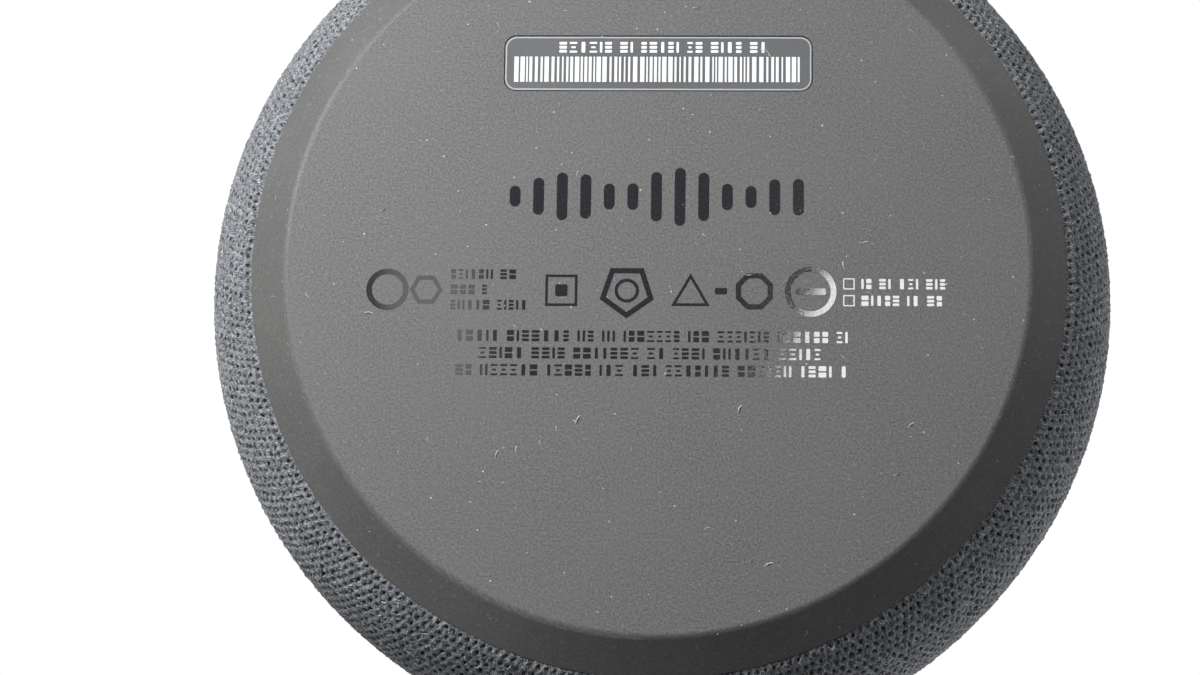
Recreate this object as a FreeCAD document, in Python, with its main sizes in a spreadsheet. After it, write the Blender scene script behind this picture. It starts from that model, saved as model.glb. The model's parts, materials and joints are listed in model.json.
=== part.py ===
"""A puck-shaped smart speaker, built as the separate pieces that it comes apart into.

Millimetres, +Z up. The origin is the centre of the foot's flat underside, on the axis of the
body. The two sockets are at the back, which is +Y. The stack is sized from both ends: the foot,
main board and heat spreader from the table upwards, the cover, buttons and driver from the top
downwards, and the speaker box takes the height that is left between them.
"""

import FreeCAD
import Part
import Sketcher
import os
import re

# Every size that can be set by itself. Each is one cell of the sheet, with its name as alias.
SIZES = {
    # the outside of the body
    "body_radius": 49.5,
    "body_height": 43.0,
    "bulge_height": 18.0,       # where the lower curve of the side becomes upright
    "shoulder_drop": 18.0,      # from the top down to where the side starts to curve in
    "rim_inset": 4.1,           # how far the side has curved in where the light ring starts
    "rim_drop": 1.7,            # from the top down to where the light ring starts
    # clearances
    "fit_gap": 0.1,             # round a piece that drops into another
    "seat_gap": 0.05,           # between two faces that are stacked
    "thread_gap": 0.03,         # between a screw and the bore that it cuts its thread in
    "slide_gap": 0.15,          # round a button in the cover
    # foot
    "foot_inset": 6.1,
    "band_width": 4.0,          # the sloping band round the flat sole
    "band_height": 3.3,
    "band_crease": 0.4,         # tangent length of the soft crease between sole and band
    "sole_thickness": 1.6,
    "foot_rim": 3.4,
    "adhesive_thickness": 0.2,
    "adhesive_width": 9.0,
    "label_length": 33.0,
    "label_width": 6.2,
    "label_corner": 1.3,
    "label_offset": 21.9,       # from the axis, towards the sockets
    "label_depth": 0.3,
    "label_thickness": 0.22,
    # bottom cover and the screws that hold the case together
    "plate_thickness": 2.0,
    "flange_thickness": 1.5,
    "flange_lip": 2.0,
    "case_screw_inset": 11.4,   # from the foot's edge to the screw circle
    "case_screw_radius": 1.15,
    "case_screw_length": 16.5,
    "case_head_radius": 2.3,
    "case_head_height": 1.3,
    "case_boss_radius": 3.3,
    "case_hole_radius": 1.4,
    # knitted sleeve and the grille under it
    "fabric_thickness": 1.1,
    "grille_wall": 1.8,
    "grille_drop": 2.8,         # from the top of the body to the top of the grille
    "slot_width": 3.0,
    "slot_count": 48,
    "slot_drop": 7.0,           # from the top of the body to the top of the slots
    "slot_rise": 3.0,           # from the port opening up to the bottom of the slots
    # port opening and bezel
    "port_half_width": 14.5,
    "port_headroom": 5.0,       # from the sockets' axis up to the top of the bezel
    "port_corner": 3.0,
    "port_offset": 6.5,         # each socket's axis from the middle
    "bezel_recess": 0.35,
    "bezel_depth": 3.0,
    "bezel_gap": 0.15,
    # sockets
    "jack_recess": 1.4,         # from the knitted side in to a socket's nose
    "jack_nose": 5.5,
    "power_bore": 2.1,
    "power_bore_depth": 9.5,
    "power_nose_radius": 3.0,
    "power_jack_width": 8.6,
    "power_jack_height": 6.5,
    "power_jack_length": 11.0,
    "power_pin_radius": 0.825,
    "power_pin_recess": 0.8,
    "power_pin_root": 1.2,
    "power_root_length": 2.5,
    "audio_bore": 1.8,
    "audio_bore_depth": 14.0,
    "audio_nose_radius": 2.7,
    "audio_jack_width": 6.6,
    "audio_jack_height": 6.0,
    "audio_jack_length": 10.0,
    # main board and what it carries
    "board_standoff": 3.2,
    "board_thickness": 1.2,
    "board_inset": 4.9,         # from the foot's edge to the edge of the main board
    "can_height": 1.6,
    "can_wall": 0.25,
    "can_length": 26.0,
    "can_width": 20.0,
    "chip_size": 12.0,
    "chip_height": 1.1,
    "pad_thickness": 0.5,
    # heat spreader
    "spreader_thickness": 1.8,
    "spreader_inset": 5.9,
    "fin_height": 2.6,
    "fin_thickness": 0.9,
    "fin_pitch": 4.4,
    "jack_clearance": 1.5,
    # speaker box
    "box_gap": 0.5,
    "box_inset": 5.4,           # from the foot's edge to the wall of the speaker box
    "box_wall": 1.6,
    "lid_thickness": 2.0,
    "seal_thickness": 0.2,
    "box_screw_radius": 1.0,
    "box_screw_inset": 3.8,
    "box_screw_length": 9.0,
    "small_head_radius": 1.9,
    "small_head_height": 1.0,
    "post_height": 4.6,         # the gap that lets the sound out, between lid and top frame
    "post_radius": 2.6,
    "post_inset": 7.0,          # from the wall of the speaker box to the centre of a post
    # loudspeaker driver: it widens from the cone outwards, and its motor stands over the box's floor
    "driver_flange": 1.0,
    "driver_screw_radius": 0.9,
    "driver_screw_length": 3.6,
    "barrel_depth": 3.0,
    "basket_foot": 12.0,        # outside of the basket at its underside
    "basket_waist": 15.46,      # outside of the basket, level with the landing
    "motor_clearance": 0.75,
    "basket_wall": 0.8,
    "landing_height": 1.4,      # from the basket's floor up to where the spider is glued
    "landing_wall": 2.06,       # from the waist in to the landing
    "landing_width": 3.0,
    "spider_margin": 1.4,       # from the landing's outer edge in to the spider's edge
    "window_width": 9.0,
    "pole_clearance": 0.3,
    "coil_radius": 6.2,         # inside of the coil former
    "former_wall": 0.16,
    "coil_wall": 0.4,
    "coil_clearance": 0.35,
    "coil_height": 3.0,
    "motor_radius": 14.0,
    "motor_plate": 1.4,
    "magnet_radius": 14.5,
    "magnet_step": 1.05,        # from the bore of the top plate to the bore of the magnet
    "magnet_thickness": 4.2,
    "cone_radius": 15.0,
    "cone_wall": 0.35,
    "cone_depth": 3.6,
    "cap_overlap": 1.01,        # from the coil former out to where the dust cap is glued to the cone
    "cap_rise": 1.65,
    "cap_wall": 0.3,
    "surround_wall": 0.3,
    "surround_lip": 1.4,
    "roll_flatness": 0.05,
    "roll_width": 3.0,
    "spider_wall": 0.25,
    "spider_wave": 0.7,
    "gasket_width": 1.25,
    "gasket_height": 0.6,
    "lead_radius": 0.5,
    "lead_spacing": 2.6,
    "lead_distance": 26.0,      # from the axis to where the lead goes down through the box
    "lead_bend": 3.0,
    "grommet_bore": 2.15,
    # top: cover, light ring, buttons and the board under them
    "cover_thickness": 1.5,
    "cover_edge": 0.3,
    "ring_width": 2.2,
    "ring_skirt": 1.1,
    "switch_room": 2.5,         # from the upper board to the underside of the cover
    "button_circle": 24.0,
    "button_radius": 5.45,
    "button_edge": 0.35,
    "button_proud": 0.3,
    "button_flange": 1.0,
    "button_flange_thickness": 0.7,
    "button_travel": 0.35,
    "switch_size": 4.6,
    "switch_height": 0.8,
    "plunger_radius": 0.95,
    "microphone_inset": 3.4,    # from the board's edge
    "microphone_hole": 0.6,
    "microphone_height": 1.0,
    "light_inset": 1.3,         # from the board's edge
    "upper_board_margin": 2.5,  # from the light ring's skirt in to the board's edge
    "upper_board_thickness": 1.0,
    "frame_thickness": 1.3,
    "diffuser_tip": 3.0,        # the blunt cone over the driver that spreads its sound
    "diffuser_root": 11.8,
    "ribbon_width": 12.0,
    "ribbon_thickness": 0.3,
    "ribbon_bend": 1.3,
    "ribbon_gap": 1.1,
    "ribbon_socket_height": 1.0,
    "leg_width": 5.0,
    "leg_thickness": 1.2,
}

BUTTONS = {"volume_up": 90, "volume_down": 270, "action": 0, "microphone_off": 180}
DIAGONALS = (45, 135, 225, 315)
QUARTERS = (0, 90, 180, 270)
LIGHTS = range(15, 360, 30)
LEGS = (15, 105, 195, 285)
SPIDER_STEPS = 5

# Sizes that follow from the ones above, as expressions that the sketches and primitives share.
FOOT_RADIUS = "(body_radius - foot_inset)"
SOLE_RADIUS = "(body_radius - foot_inset - band_width)"
RECESS_RADIUS = "(body_radius - foot_inset - foot_rim)"
RIM_RADIUS = "(body_radius - rim_inset)"
RIM_LEVEL = "(body_height - rim_drop)"
SHOULDER = "(body_height - shoulder_drop)"
LOWER_CURVE = "((foot_inset^2 + (bulge_height - band_height)^2) / (2 * foot_inset))"
UPPER_CURVE = "((rim_inset^2 + (shoulder_drop - rim_drop)^2) / (2 * rim_inset))"
GRILLE_DEPTH = "(fabric_thickness + fit_gap)"
GRILLE_INSIDE = "(fabric_thickness + fit_gap + grille_wall)"
PLATE_LOW = "(sole_thickness + adhesive_thickness)"
PLATE_TOP = "(sole_thickness + adhesive_thickness + plate_thickness)"
SLEEVE_LOW = "(band_height + seat_gap)"
FLANGE_LOW = SLEEVE_LOW
FLANGE_TOP = "(band_height + seat_gap + flange_thickness)"
BOARD_LOW = f"({PLATE_TOP} + board_standoff)"
BOARD_TOP = f"({BOARD_LOW} + board_thickness)"
PORT_LEVEL = f"({BOARD_TOP} + seat_gap + power_jack_height / 2)"
PORT_TOP = f"({PORT_LEVEL} + port_headroom)"
SPREADER_LOW = f"({BOARD_TOP} + can_height + pad_thickness)"
SPREADER_TOP = f"({SPREADER_LOW} + spreader_thickness)"
FIN_TOP = f"({SPREADER_TOP} + fin_height)"
JACK_TOP = f"({BOARD_TOP} + seat_gap + power_jack_height)"
BOX_LOW = f"(max({FIN_TOP}; {JACK_TOP}) + box_gap)"
BOX_FLOOR = f"({BOX_LOW} + box_wall)"
BOX_RADIUS = f"({FOOT_RADIUS} - box_inset)"
CASE_SCREWS = f"({FOOT_RADIUS} - case_screw_inset)"
BOX_SCREWS = f"({BOX_RADIUS} - box_screw_inset)"
COVER_LOW = "(body_height - cover_thickness)"
UPPER_TOP = f"({COVER_LOW} - switch_room)"
FRAME_TOP = f"({UPPER_TOP} - upper_board_thickness - seat_gap)"
FRAME_LOW = f"({FRAME_TOP} - frame_thickness)"
SEAT = f"({FRAME_LOW} - post_height)"
LID_LOW = f"({SEAT} - lid_thickness)"
CUP_TOP = f"({LID_LOW} - seal_thickness)"
POSTS = f"({BOX_RADIUS} - post_inset)"
DRIVER_TOP = f"({SEAT} + driver_flange)"
MAGNET_LOW = f"({BOX_FLOOR} + motor_clearance + motor_plate)"
MAGNET_TOP = f"({MAGNET_LOW} + magnet_thickness)"
MOTOR_TOP = f"({MAGNET_TOP} + motor_plate)"
CAP_RADIUS = "(coil_radius + former_wall + thread_gap + cap_overlap)"
POLE_RADIUS = "(coil_radius - pole_clearance)"
FORMER_OUTSIDE = "(coil_radius + former_wall)"
COIL_OUTSIDE = f"({FORMER_OUTSIDE} + thread_gap + coil_wall)"
MOTOR_BORE = f"({COIL_OUTSIDE} + coil_clearance)"
ROLL_INSIDE = "(cone_radius + surround_lip / 4)"
ROLL_OUTSIDE = f"({ROLL_INSIDE} + roll_width)"
BARREL = f"({ROLL_OUTSIDE} - fit_gap - seat_gap + basket_wall)"
WAIST_LEVEL = f"({MOTOR_TOP} + basket_wall + landing_height)"
BARREL_LOW = f"({SEAT} - barrel_depth)"
LANDING_OUTSIDE = "(basket_waist - landing_wall)"
LANDING_INSIDE = "(basket_waist - landing_wall - landing_width)"
SPIDER_RIM = "(basket_waist - landing_wall - spider_margin)"
GASKET_INSIDE = f"({ROLL_OUTSIDE} + surround_lip + 2 * fit_gap)"
DRIVER_SCREWS = f"({GASKET_INSIDE} + gasket_width + fit_gap + small_head_radius)"
DRIVER_RADIUS = f"({DRIVER_SCREWS} + small_head_radius - fit_gap)"
RING_SEAT = f"({COVER_LOW} - seat_gap)"
RING_INSIDE = f"({RIM_RADIUS} - ring_width)"
FLANGE_UNDER = f"({COVER_LOW} - fit_gap - button_flange_thickness)"
LEAD_LOW = f"({BOARD_TOP} + can_height + seat_gap)"

doc = FreeCAD.newDocument("smart_speaker")
sheet = doc.addObject("Spreadsheet::Sheet", "dims")
subparts = []


def fill_sheet():
    for row, (name, value) in enumerate(SIZES.items(), start=1):
        sheet.set(f"A{row}", name)
        sheet.set(f"B{row}", str(value))
        sheet.setAlias(f"B{row}", name)
    doc.recompute()


def linked(expression):
    """The expression with every size's name pointing at its cell."""
    return re.sub(r"[a-z][a-z_]*", lambda word: "dims." * (word[0] in SIZES) + word[0], str(expression))


def bind(thing, prop, expression):
    thing.setExpression(prop, linked(expression))


def worth(expression):
    """What an expression comes to now, for the first shape of a sketch."""
    return float(sheet.evalExpression(linked(expression)))


def place(thing, x="0", y="0", z="0"):
    bind(thing, "Placement.Base.x", x)
    bind(thing, "Placement.Base.y", y)
    bind(thing, "Placement.Base.z", z)
    return thing


def subpart(label, thing):
    """Names a finished piece, whose label is also the name of its file."""
    thing.Label = label
    subparts.append(thing)
    return thing


# Part primitives and booleans


def rod(radius, low, height, x="0", y="0"):
    """An upright cylinder."""
    made = doc.addObject("Part::Cylinder", "rod")
    bind(made, "Radius", radius)
    bind(made, "Height", height)
    return place(made, x, y, low)


def bar(radius, front, length, x, z):
    """A cylinder that lies along Y and runs back from its front end."""
    made = doc.addObject("Part::Cylinder", "bar")
    made.Placement.Rotation = FreeCAD.Rotation(FreeCAD.Vector(1, 0, 0), 90)
    bind(made, "Radius", radius)
    bind(made, "Height", length)
    return place(made, x, front, z)


def block(x, y, low, length, width, height):
    """A box centred on x and y, length along X and width along Y."""
    made = doc.addObject("Part::Box", "block")
    bind(made, "Length", length)
    bind(made, "Width", width)
    bind(made, "Height", height)
    return place(made, f"{x} - ({length}) / 2", f"{y} - ({width}) / 2", low)


def joined(kind, things):
    made = doc.addObject(kind, kind.split("::")[1].lower())
    setattr(made, "Links" if kind == "Part::Compound" else "Shapes", things)
    return made


def fused(things):
    return joined("Part::MultiFuse", things)


def grouped(things):
    return joined("Part::Compound", things)


def without(base, tools):
    made = doc.addObject("Part::Cut", "cut")
    made.Base = base
    made.Tool = grouped(tools) if len(tools) > 1 else tools[0]
    return made


def shared(first, second):
    made = doc.addObject("Part::Common", "common")
    made.Base = first
    made.Tool = second
    return made


def swung(thing, angle):
    """The piece turned about the body's axis."""
    made = grouped([thing])
    made.Placement.Rotation = FreeCAD.Rotation(FreeCAD.Vector(0, 0, 1), angle)
    return made


def around(circle, angle):
    return f"{circle} * cos({angle})", f"{circle} * sin({angle})"


def rods_around(circle, angles, radius, low, height):
    return [rod(radius, low, height, *around(circle, angle)) for angle in angles]


def tube(inside, outside, low, height):
    clear = "seat_gap"
    bore = rod(inside, f"{low} - {clear}", f"{height} + 2 * {clear}")
    return without(rod(outside, low, height), [bore])


# PartDesign bodies from outlines


def arc_between(start, end, radius):
    """The arc from start to end that turns left for a positive radius and right for a negative one."""
    chord = end - start
    left = FreeCAD.Vector(-chord.y, chord.x, 0).normalize()
    reach = max(radius**2 - chord.Length**2 / 4, 0) ** 0.5
    centre = (start + end) * 0.5 + left * (reach if radius > 0 else -reach)
    first, last = (start, end) if radius > 0 else (end, start)
    circle = Part.Circle(centre, FreeCAD.Vector(0, 0, 1), abs(radius))
    return Part.ArcOfCircle(circle, circle.parameter(first), circle.parameter(last))


def outline(body, plane, corners):
    """A closed sketch. A corner is (x, y), or (x, y, radius) where an arc leads on to the next."""
    sketch = body.newObject("Sketcher::SketchObject", "outline")
    sketch.AttachmentSupport = (next(f for f in body.Origin.OriginFeatures if f.Role == plane), [""])
    sketch.MapMode = "FlatFace"
    points = [FreeCAD.Vector(worth(c[0]), worth(c[1]), 0) for c in corners]
    ends = []
    for at, corner in enumerate(corners):
        start, end = points[at], points[(at + 1) % len(points)]
        radius = worth(corner[2]) if len(corner) > 2 else 0
        sketch.addGeometry(arc_between(start, end, radius) if radius else Part.LineSegment(start, end))
        ends.append((2, 1) if radius < 0 else (1, 2))
    for at, corner in enumerate(corners):
        after = (at + 1) % len(corners)
        sketch.addConstraint(Sketcher.Constraint("Coincident", at, ends[at][1], after, ends[after][0]))
        for name, along, value in (
            ("DistanceX", corner[0], points[at].x), ("DistanceY", corner[1], points[at].y)
        ):
            held = sketch.addConstraint(Sketcher.Constraint(name, at, ends[at][0], value))
            bind(sketch, f"Constraints[{held}]", along)
        if len(corner) > 2:
            held = sketch.addConstraint(Sketcher.Constraint("Radius", at, abs(worth(corner[2]))))
            bind(sketch, f"Constraints[{held}]", f"abs({corner[2]})")
    return sketch


def turned(corners):
    """A body turned about the body's axis from a half section, in radius and height."""
    body = doc.addObject("PartDesign::Body", "turned")
    turn = body.newObject("PartDesign::Revolution", "turn")
    turn.Profile = outline(body, "XZ_Plane", corners)
    turn.ReferenceAxis = (turn.Profile[0], ["V_Axis"])
    turn.Angle = 360
    return body


def padded(plane, corners, length, low="0", both_ways=False, backwards=False):
    """A body padded from an outline on one of its origin planes."""
    body = doc.addObject("PartDesign::Body", "padded")
    pad = body.newObject("PartDesign::Pad", "pad")
    pad.Profile = outline(body, plane, corners)
    pad.SideType = "Symmetric" if both_ways else "One side"
    pad.Reversed = backwards
    bind(pad, "Length", length)
    return place(body, z=low)


def pocketed(body, plane, corners):
    """Cuts an outline through one side of a body, from the plane outwards."""
    pocket = body.newObject("PartDesign::Pocket", "pocket")
    pocket.Profile = outline(body, plane, corners)
    pocket.Type = "ThroughAll"
    body.Tip = pocket
    return pocket


def rounded(left, right, low, high, radius):
    """The corners of a rectangle with round corners."""
    return [
        (f"{left} + {radius}", low),
        (f"{right} - {radius}", low, radius),
        (right, f"{low} + {radius}"),
        (right, f"{high} - {radius}", radius),
        (f"{right} - {radius}", high),
        (f"{left} + {radius}", high, radius),
        (left, f"{high} - {radius}"),
        (left, f"{low} + {radius}", radius),
    ]


def low_side(level, depth="0"):
    """The radius of the lower side at a level, some depth under the outer surface."""
    run = f"sqrt(({LOWER_CURVE} - {depth})^2 - (bulge_height - {level})^2)"
    return f"(body_radius - {LOWER_CURVE} + {run})"


def high_side(level, depth="0"):
    """The radius of the upper side at a level, some depth under the outer surface."""
    run = f"sqrt(({UPPER_CURVE} - {depth})^2 - ({level} - {SHOULDER})^2)"
    return f"(body_radius - {UPPER_CURVE} + {run})"


def side_wall(low, high, outer, inner):
    """The half section of a wall that follows the curved side, between two depths."""
    return [
        (low_side(low, outer), low, f"{LOWER_CURVE} - {outer}"),
        (f"body_radius - {outer}", "bulge_height"),
        (f"body_radius - {outer}", SHOULDER, f"{UPPER_CURVE} - {outer}"),
        (high_side(high, outer), high),
        (high_side(high, inner), high, f"-({UPPER_CURVE} - {inner})"),
        (f"body_radius - {inner}", SHOULDER),
        (f"body_radius - {inner}", "bulge_height", f"-({LOWER_CURVE} - {inner})"),
        (low_side(low, inner), low),
    ]


def port_outline(grow):
    """The opening for the sockets, in X and Z, grown by a clearance. It runs out through the foot."""
    half = f"(port_half_width + {grow})"
    corner = f"(port_corner + {grow})"
    return rounded(f"-{half}", half, f"(band_height - {corner})", f"({PORT_TOP} + {grow})", corner)


def screw(x, y, seat, head_radius, head_height, radius, length, upside_down=False):
    """A pan-head screw with a hexagon socket. Its head is above the seat, or below it."""
    head_low = f"{seat} - ({head_height})" if upside_down else seat
    shank_low = seat if upside_down else f"{seat} - ({length})"
    depth = f"({head_height}) / 2"
    socket = doc.addObject("Part::Prism", "socket")
    socket.Polygon = 6
    bind(socket, "Circumradius", f"({head_radius}) / 2")
    bind(socket, "Height", depth)
    place(socket, x, y, head_low if upside_down else f"{seat} + {depth}")
    solid = fused([rod(head_radius, head_low, head_height, x, y), rod(radius, shank_low, length, x, y)])
    return without(solid, [socket])


SKIRT_OUTSIDE = f"({high_side('(body_height - grille_drop)', GRILLE_INSIDE)} - 2 * fit_gap)"
SKIRT_INSIDE = f"({SKIRT_OUTSIDE} - ring_skirt)"
UPPER_BOARD = f"({SKIRT_INSIDE} - upper_board_margin)"
MICROPHONES = f"({UPPER_BOARD} - microphone_inset)"
LIGHT_CIRCLE = f"({UPPER_BOARD} - light_inset)"
RIBBON_Y = f"({UPPER_BOARD} + ribbon_gap)"

# Foot and bottom cover

FLANGE_RADIUS = f"({low_side(SLEEVE_LOW, 'fabric_thickness')} - fit_gap)"


def make_foot():
    slope = "atan(band_height / band_width)"
    foot = turned([
        ("0", "0"),
        (f"{SOLE_RADIUS} - band_crease", "0", f"band_crease / tan({slope} / 2)"),
        (f"{SOLE_RADIUS} + band_crease * cos({slope})", f"band_crease * sin({slope})"),
        (FOOT_RADIUS, "band_height"),
        (RECESS_RADIUS, "band_height"),
        (RECESS_RADIUS, "sole_thickness"),
        ("0", "sole_thickness"),
    ])
    subpart("foot_pad", without(foot, [label_shape("0", "label_depth")]))


def label_shape(shrink, thickness, low="0"):
    """A plate in the shape of the recess in the sole, smaller by a clearance all round."""
    half_length = f"(label_length / 2 - {shrink})"
    near = f"(label_offset - label_width / 2 + {shrink})"
    far = f"(label_offset + label_width / 2 - {shrink})"
    corners = rounded(f"-{half_length}", half_length, near, far, f"(label_corner - {shrink})")
    return padded("XY_Plane", corners, thickness, low)


def make_foot_trim():
    subpart("label_plate", label_shape("fit_gap", "label_thickness", "label_depth - label_thickness"))
    outside = f"({RECESS_RADIUS} - 2 * fit_gap)"
    ring = tube(f"{outside} - adhesive_width", outside, "sole_thickness", "adhesive_thickness")
    holes = rods_around(
        CASE_SCREWS,
        DIAGONALS,
        "case_boss_radius",
        "sole_thickness - seat_gap",
        "adhesive_thickness + 2 * seat_gap",
    )
    subpart("foot_adhesive", without(ring, holes))


def make_bottom_cover():
    neck = f"({RECESS_RADIUS} - fit_gap)"
    dish = turned([
        ("0", PLATE_LOW),
        (neck, PLATE_LOW),
        (neck, FLANGE_LOW),
        (FLANGE_RADIUS, FLANGE_LOW),
        (FLANGE_RADIUS, FLANGE_TOP),
        (f"{neck} - flange_lip", FLANGE_TOP),
        (f"{neck} - flange_lip", PLATE_TOP),
        ("0", PLATE_TOP),
    ])
    bosses = rods_around(
        CASE_SCREWS, DIAGONALS, "case_boss_radius", f"{PLATE_TOP} - seat_gap", "board_standoff"
    )
    heads = rods_around(
        CASE_SCREWS, DIAGONALS, "case_head_radius + fit_gap", f"{PLATE_LOW} - seat_gap",
        "case_head_height + seat_gap + fit_gap",
    )
    shanks = rods_around(
        CASE_SCREWS, DIAGONALS, "case_hole_radius", PLATE_LOW, "plate_thickness + board_standoff"
    )
    subpart("bottom_cover", without(fused([dish, *bosses]), heads + shanks))
    screws = [
        screw(
            *around(CASE_SCREWS, angle),
            f"{PLATE_LOW} + case_head_height + fit_gap",
            "case_head_radius",
            "case_head_height",
            "case_screw_radius",
            "case_screw_length",
            upside_down=True,
        )
        for angle in DIAGONALS
    ]
    subpart("case_screws", grouped(screws))


# Side of the body


def make_side():
    fabric = turned(side_wall(SLEEVE_LOW, f"({RIM_LEVEL} - seat_gap)", "0", "fabric_thickness"))
    pocketed(fabric, "XZ_Plane", port_outline("2 * bezel_gap"))
    subpart("fabric_sleeve", fabric)
    low = f"({FLANGE_TOP} + seat_gap)"
    grille = turned(side_wall(low, "(body_height - grille_drop)", GRILLE_DEPTH, GRILLE_INSIDE))
    pocketed(grille, "XZ_Plane", port_outline("bezel_gap"))
    slot = pocketed(grille, "YZ_Plane", slot_outline())
    pattern = grille.newObject("PartDesign::PolarPattern", "slots")
    pattern.Originals = [slot]
    pattern.Axis = (next(f for f in grille.Origin.OriginFeatures if f.Role == "Z_Axis"), [""])
    pattern.Angle = 360
    bind(pattern, "Occurrences", "slot_count")
    grille.Tip = pattern
    subpart("grille_shell", grille)


def slot_outline():
    """An upright slot with round ends, above the port opening."""
    end = "(slot_width / 2)"
    low = f"({PORT_TOP} + slot_rise + slot_width / 2)"
    high = "(body_height - slot_drop - slot_width / 2)"
    bulge = f"{end} * 1.0001"
    return [(end, low), (end, high, bulge), (f"-{end}", high), (f"-{end}", low, bulge)]


def make_bezel():
    ring = turned(side_wall(SLEEVE_LOW, RIM_LEVEL, "bezel_recess", "(bezel_recess + bezel_depth)"))
    flange = rod(f"{FLANGE_RADIUS} + fit_gap", "0", f"{FLANGE_TOP} + fit_gap")
    opening = padded("XZ_Plane", port_outline("0"), "body_radius + port_half_width", backwards=True)
    holes = [
        bar(f"{nose} + bezel_gap", "body_radius", "body_radius / 2", x, PORT_LEVEL)
        for nose, x in (("power_nose_radius", "port_offset"), ("audio_nose_radius", "-port_offset"))
    ]
    subpart("port_bezel", without(shared(ring, opening), [flange, *holes]))


# Sockets

NOSE = f"({low_side(PORT_LEVEL)} - jack_recess)"
JACK_FACE = f"({NOSE} - jack_nose)"


def jack(x, width, height, length, nose_radius):
    body_middle = f"({JACK_FACE} - {length} / 2)"
    body = block(x, body_middle, f"({BOARD_TOP} + seat_gap)", width, length, height)
    return fused([body, bar(nose_radius, NOSE, f"jack_nose + {length} / 2", x, PORT_LEVEL)])


def make_sockets():
    power = jack(
        "port_offset", "power_jack_width", "power_jack_height", "power_jack_length", "power_nose_radius"
    )
    bore = bar("power_bore", f"{NOSE} + seat_gap", "power_bore_depth + seat_gap", "port_offset", PORT_LEVEL)
    bore_end = f"({NOSE} - power_bore_depth)"
    root_hole = bar(
        "power_pin_root + thread_gap",
        f"{bore_end} + seat_gap",
        "power_root_length + seat_gap + thread_gap",
        "port_offset",
        PORT_LEVEL,
    )
    subpart("power_jack", without(power, [bore, root_hole]))
    pin = bar(
        "power_pin_radius",
        f"{NOSE} - power_pin_recess",
        "power_bore_depth - power_pin_recess",
        "port_offset",
        PORT_LEVEL,
    )
    root = bar("power_pin_root", bore_end, "power_root_length", "port_offset", PORT_LEVEL)
    subpart("power_jack_pin", fused([pin, root]))
    audio = jack(
        "-port_offset",
        "audio_jack_width",
        "audio_jack_height",
        "audio_jack_length",
        "audio_nose_radius",
    )
    bore = bar("audio_bore", f"{NOSE} + seat_gap", "audio_bore_depth + seat_gap", "-port_offset", PORT_LEVEL)
    subpart("audio_jack", without(audio, [bore]))


# Main board, its parts and the heat spreader

CANS = (("-8", "-6", "can_length", "can_width"), ("16", "-9", "can_length / 2", "can_width * 0.8"))


def shield_can(x, y, low, length, width, height, opens_up=False):
    """A folded lid over the chips, open towards the board."""
    inner_low = f"{low} + can_wall" if opens_up else f"{low} - can_wall"
    inner = block(x, y, inner_low, f"{length} - 2 * can_wall", f"{width} - 2 * can_wall", height)
    return without(block(x, y, low, length, width, height), [inner])


def make_main_board():
    board = rod(f"{FOOT_RADIUS} - board_inset", BOARD_LOW, "board_thickness")
    holes = rods_around(
        CASE_SCREWS,
        DIAGONALS,
        "case_hole_radius",
        f"{BOARD_LOW} - seat_gap",
        "board_thickness + 2 * seat_gap",
    )
    subpart("main_board", without(board, holes))
    cans = [shield_can(x, y, BOARD_TOP, length, width, "can_height") for x, y, length, width in CANS]
    below = f"({BOARD_LOW} - can_height)"
    cans.append(shield_can("0", "0", below, "can_width", "can_length / 2", "can_height", opens_up=True))
    subpart("shield_cans", grouped(cans))
    chips = [block(x, y, BOARD_TOP, "chip_size", "chip_size", "chip_height") for x, y, _, _ in CANS[:1]]
    chips.append(
        block(CANS[1][0], CANS[1][1], BOARD_TOP, "chip_size * 0.6", "chip_size * 0.9", "chip_height")
    )
    chips.append(block("-17.5", "-6", BOARD_TOP, "chip_size / 3", "chip_size * 0.75", "chip_height"))
    subpart("main_chips", grouped(chips))
    coils = [block(x, "20", BOARD_TOP, "4.2", "4.2", "can_height") for x in ("4", "10")]
    capacitors = [rod("1.6", BOARD_TOP, "can_height", x, "14") for x in ("2", "7", "12")]
    subpart("power_parts", grouped(coils + capacitors))
    subpart("lead_socket", block("lead_distance", "0", BOARD_TOP, "4", "6", "can_height"))
    pads = [block(x, y, f"{BOARD_TOP} + can_height", f"{length} - 2", f"{width} - 2", "pad_thickness")
            for x, y, length, width in CANS]
    subpart("thermal_pads", grouped(pads))


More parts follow.
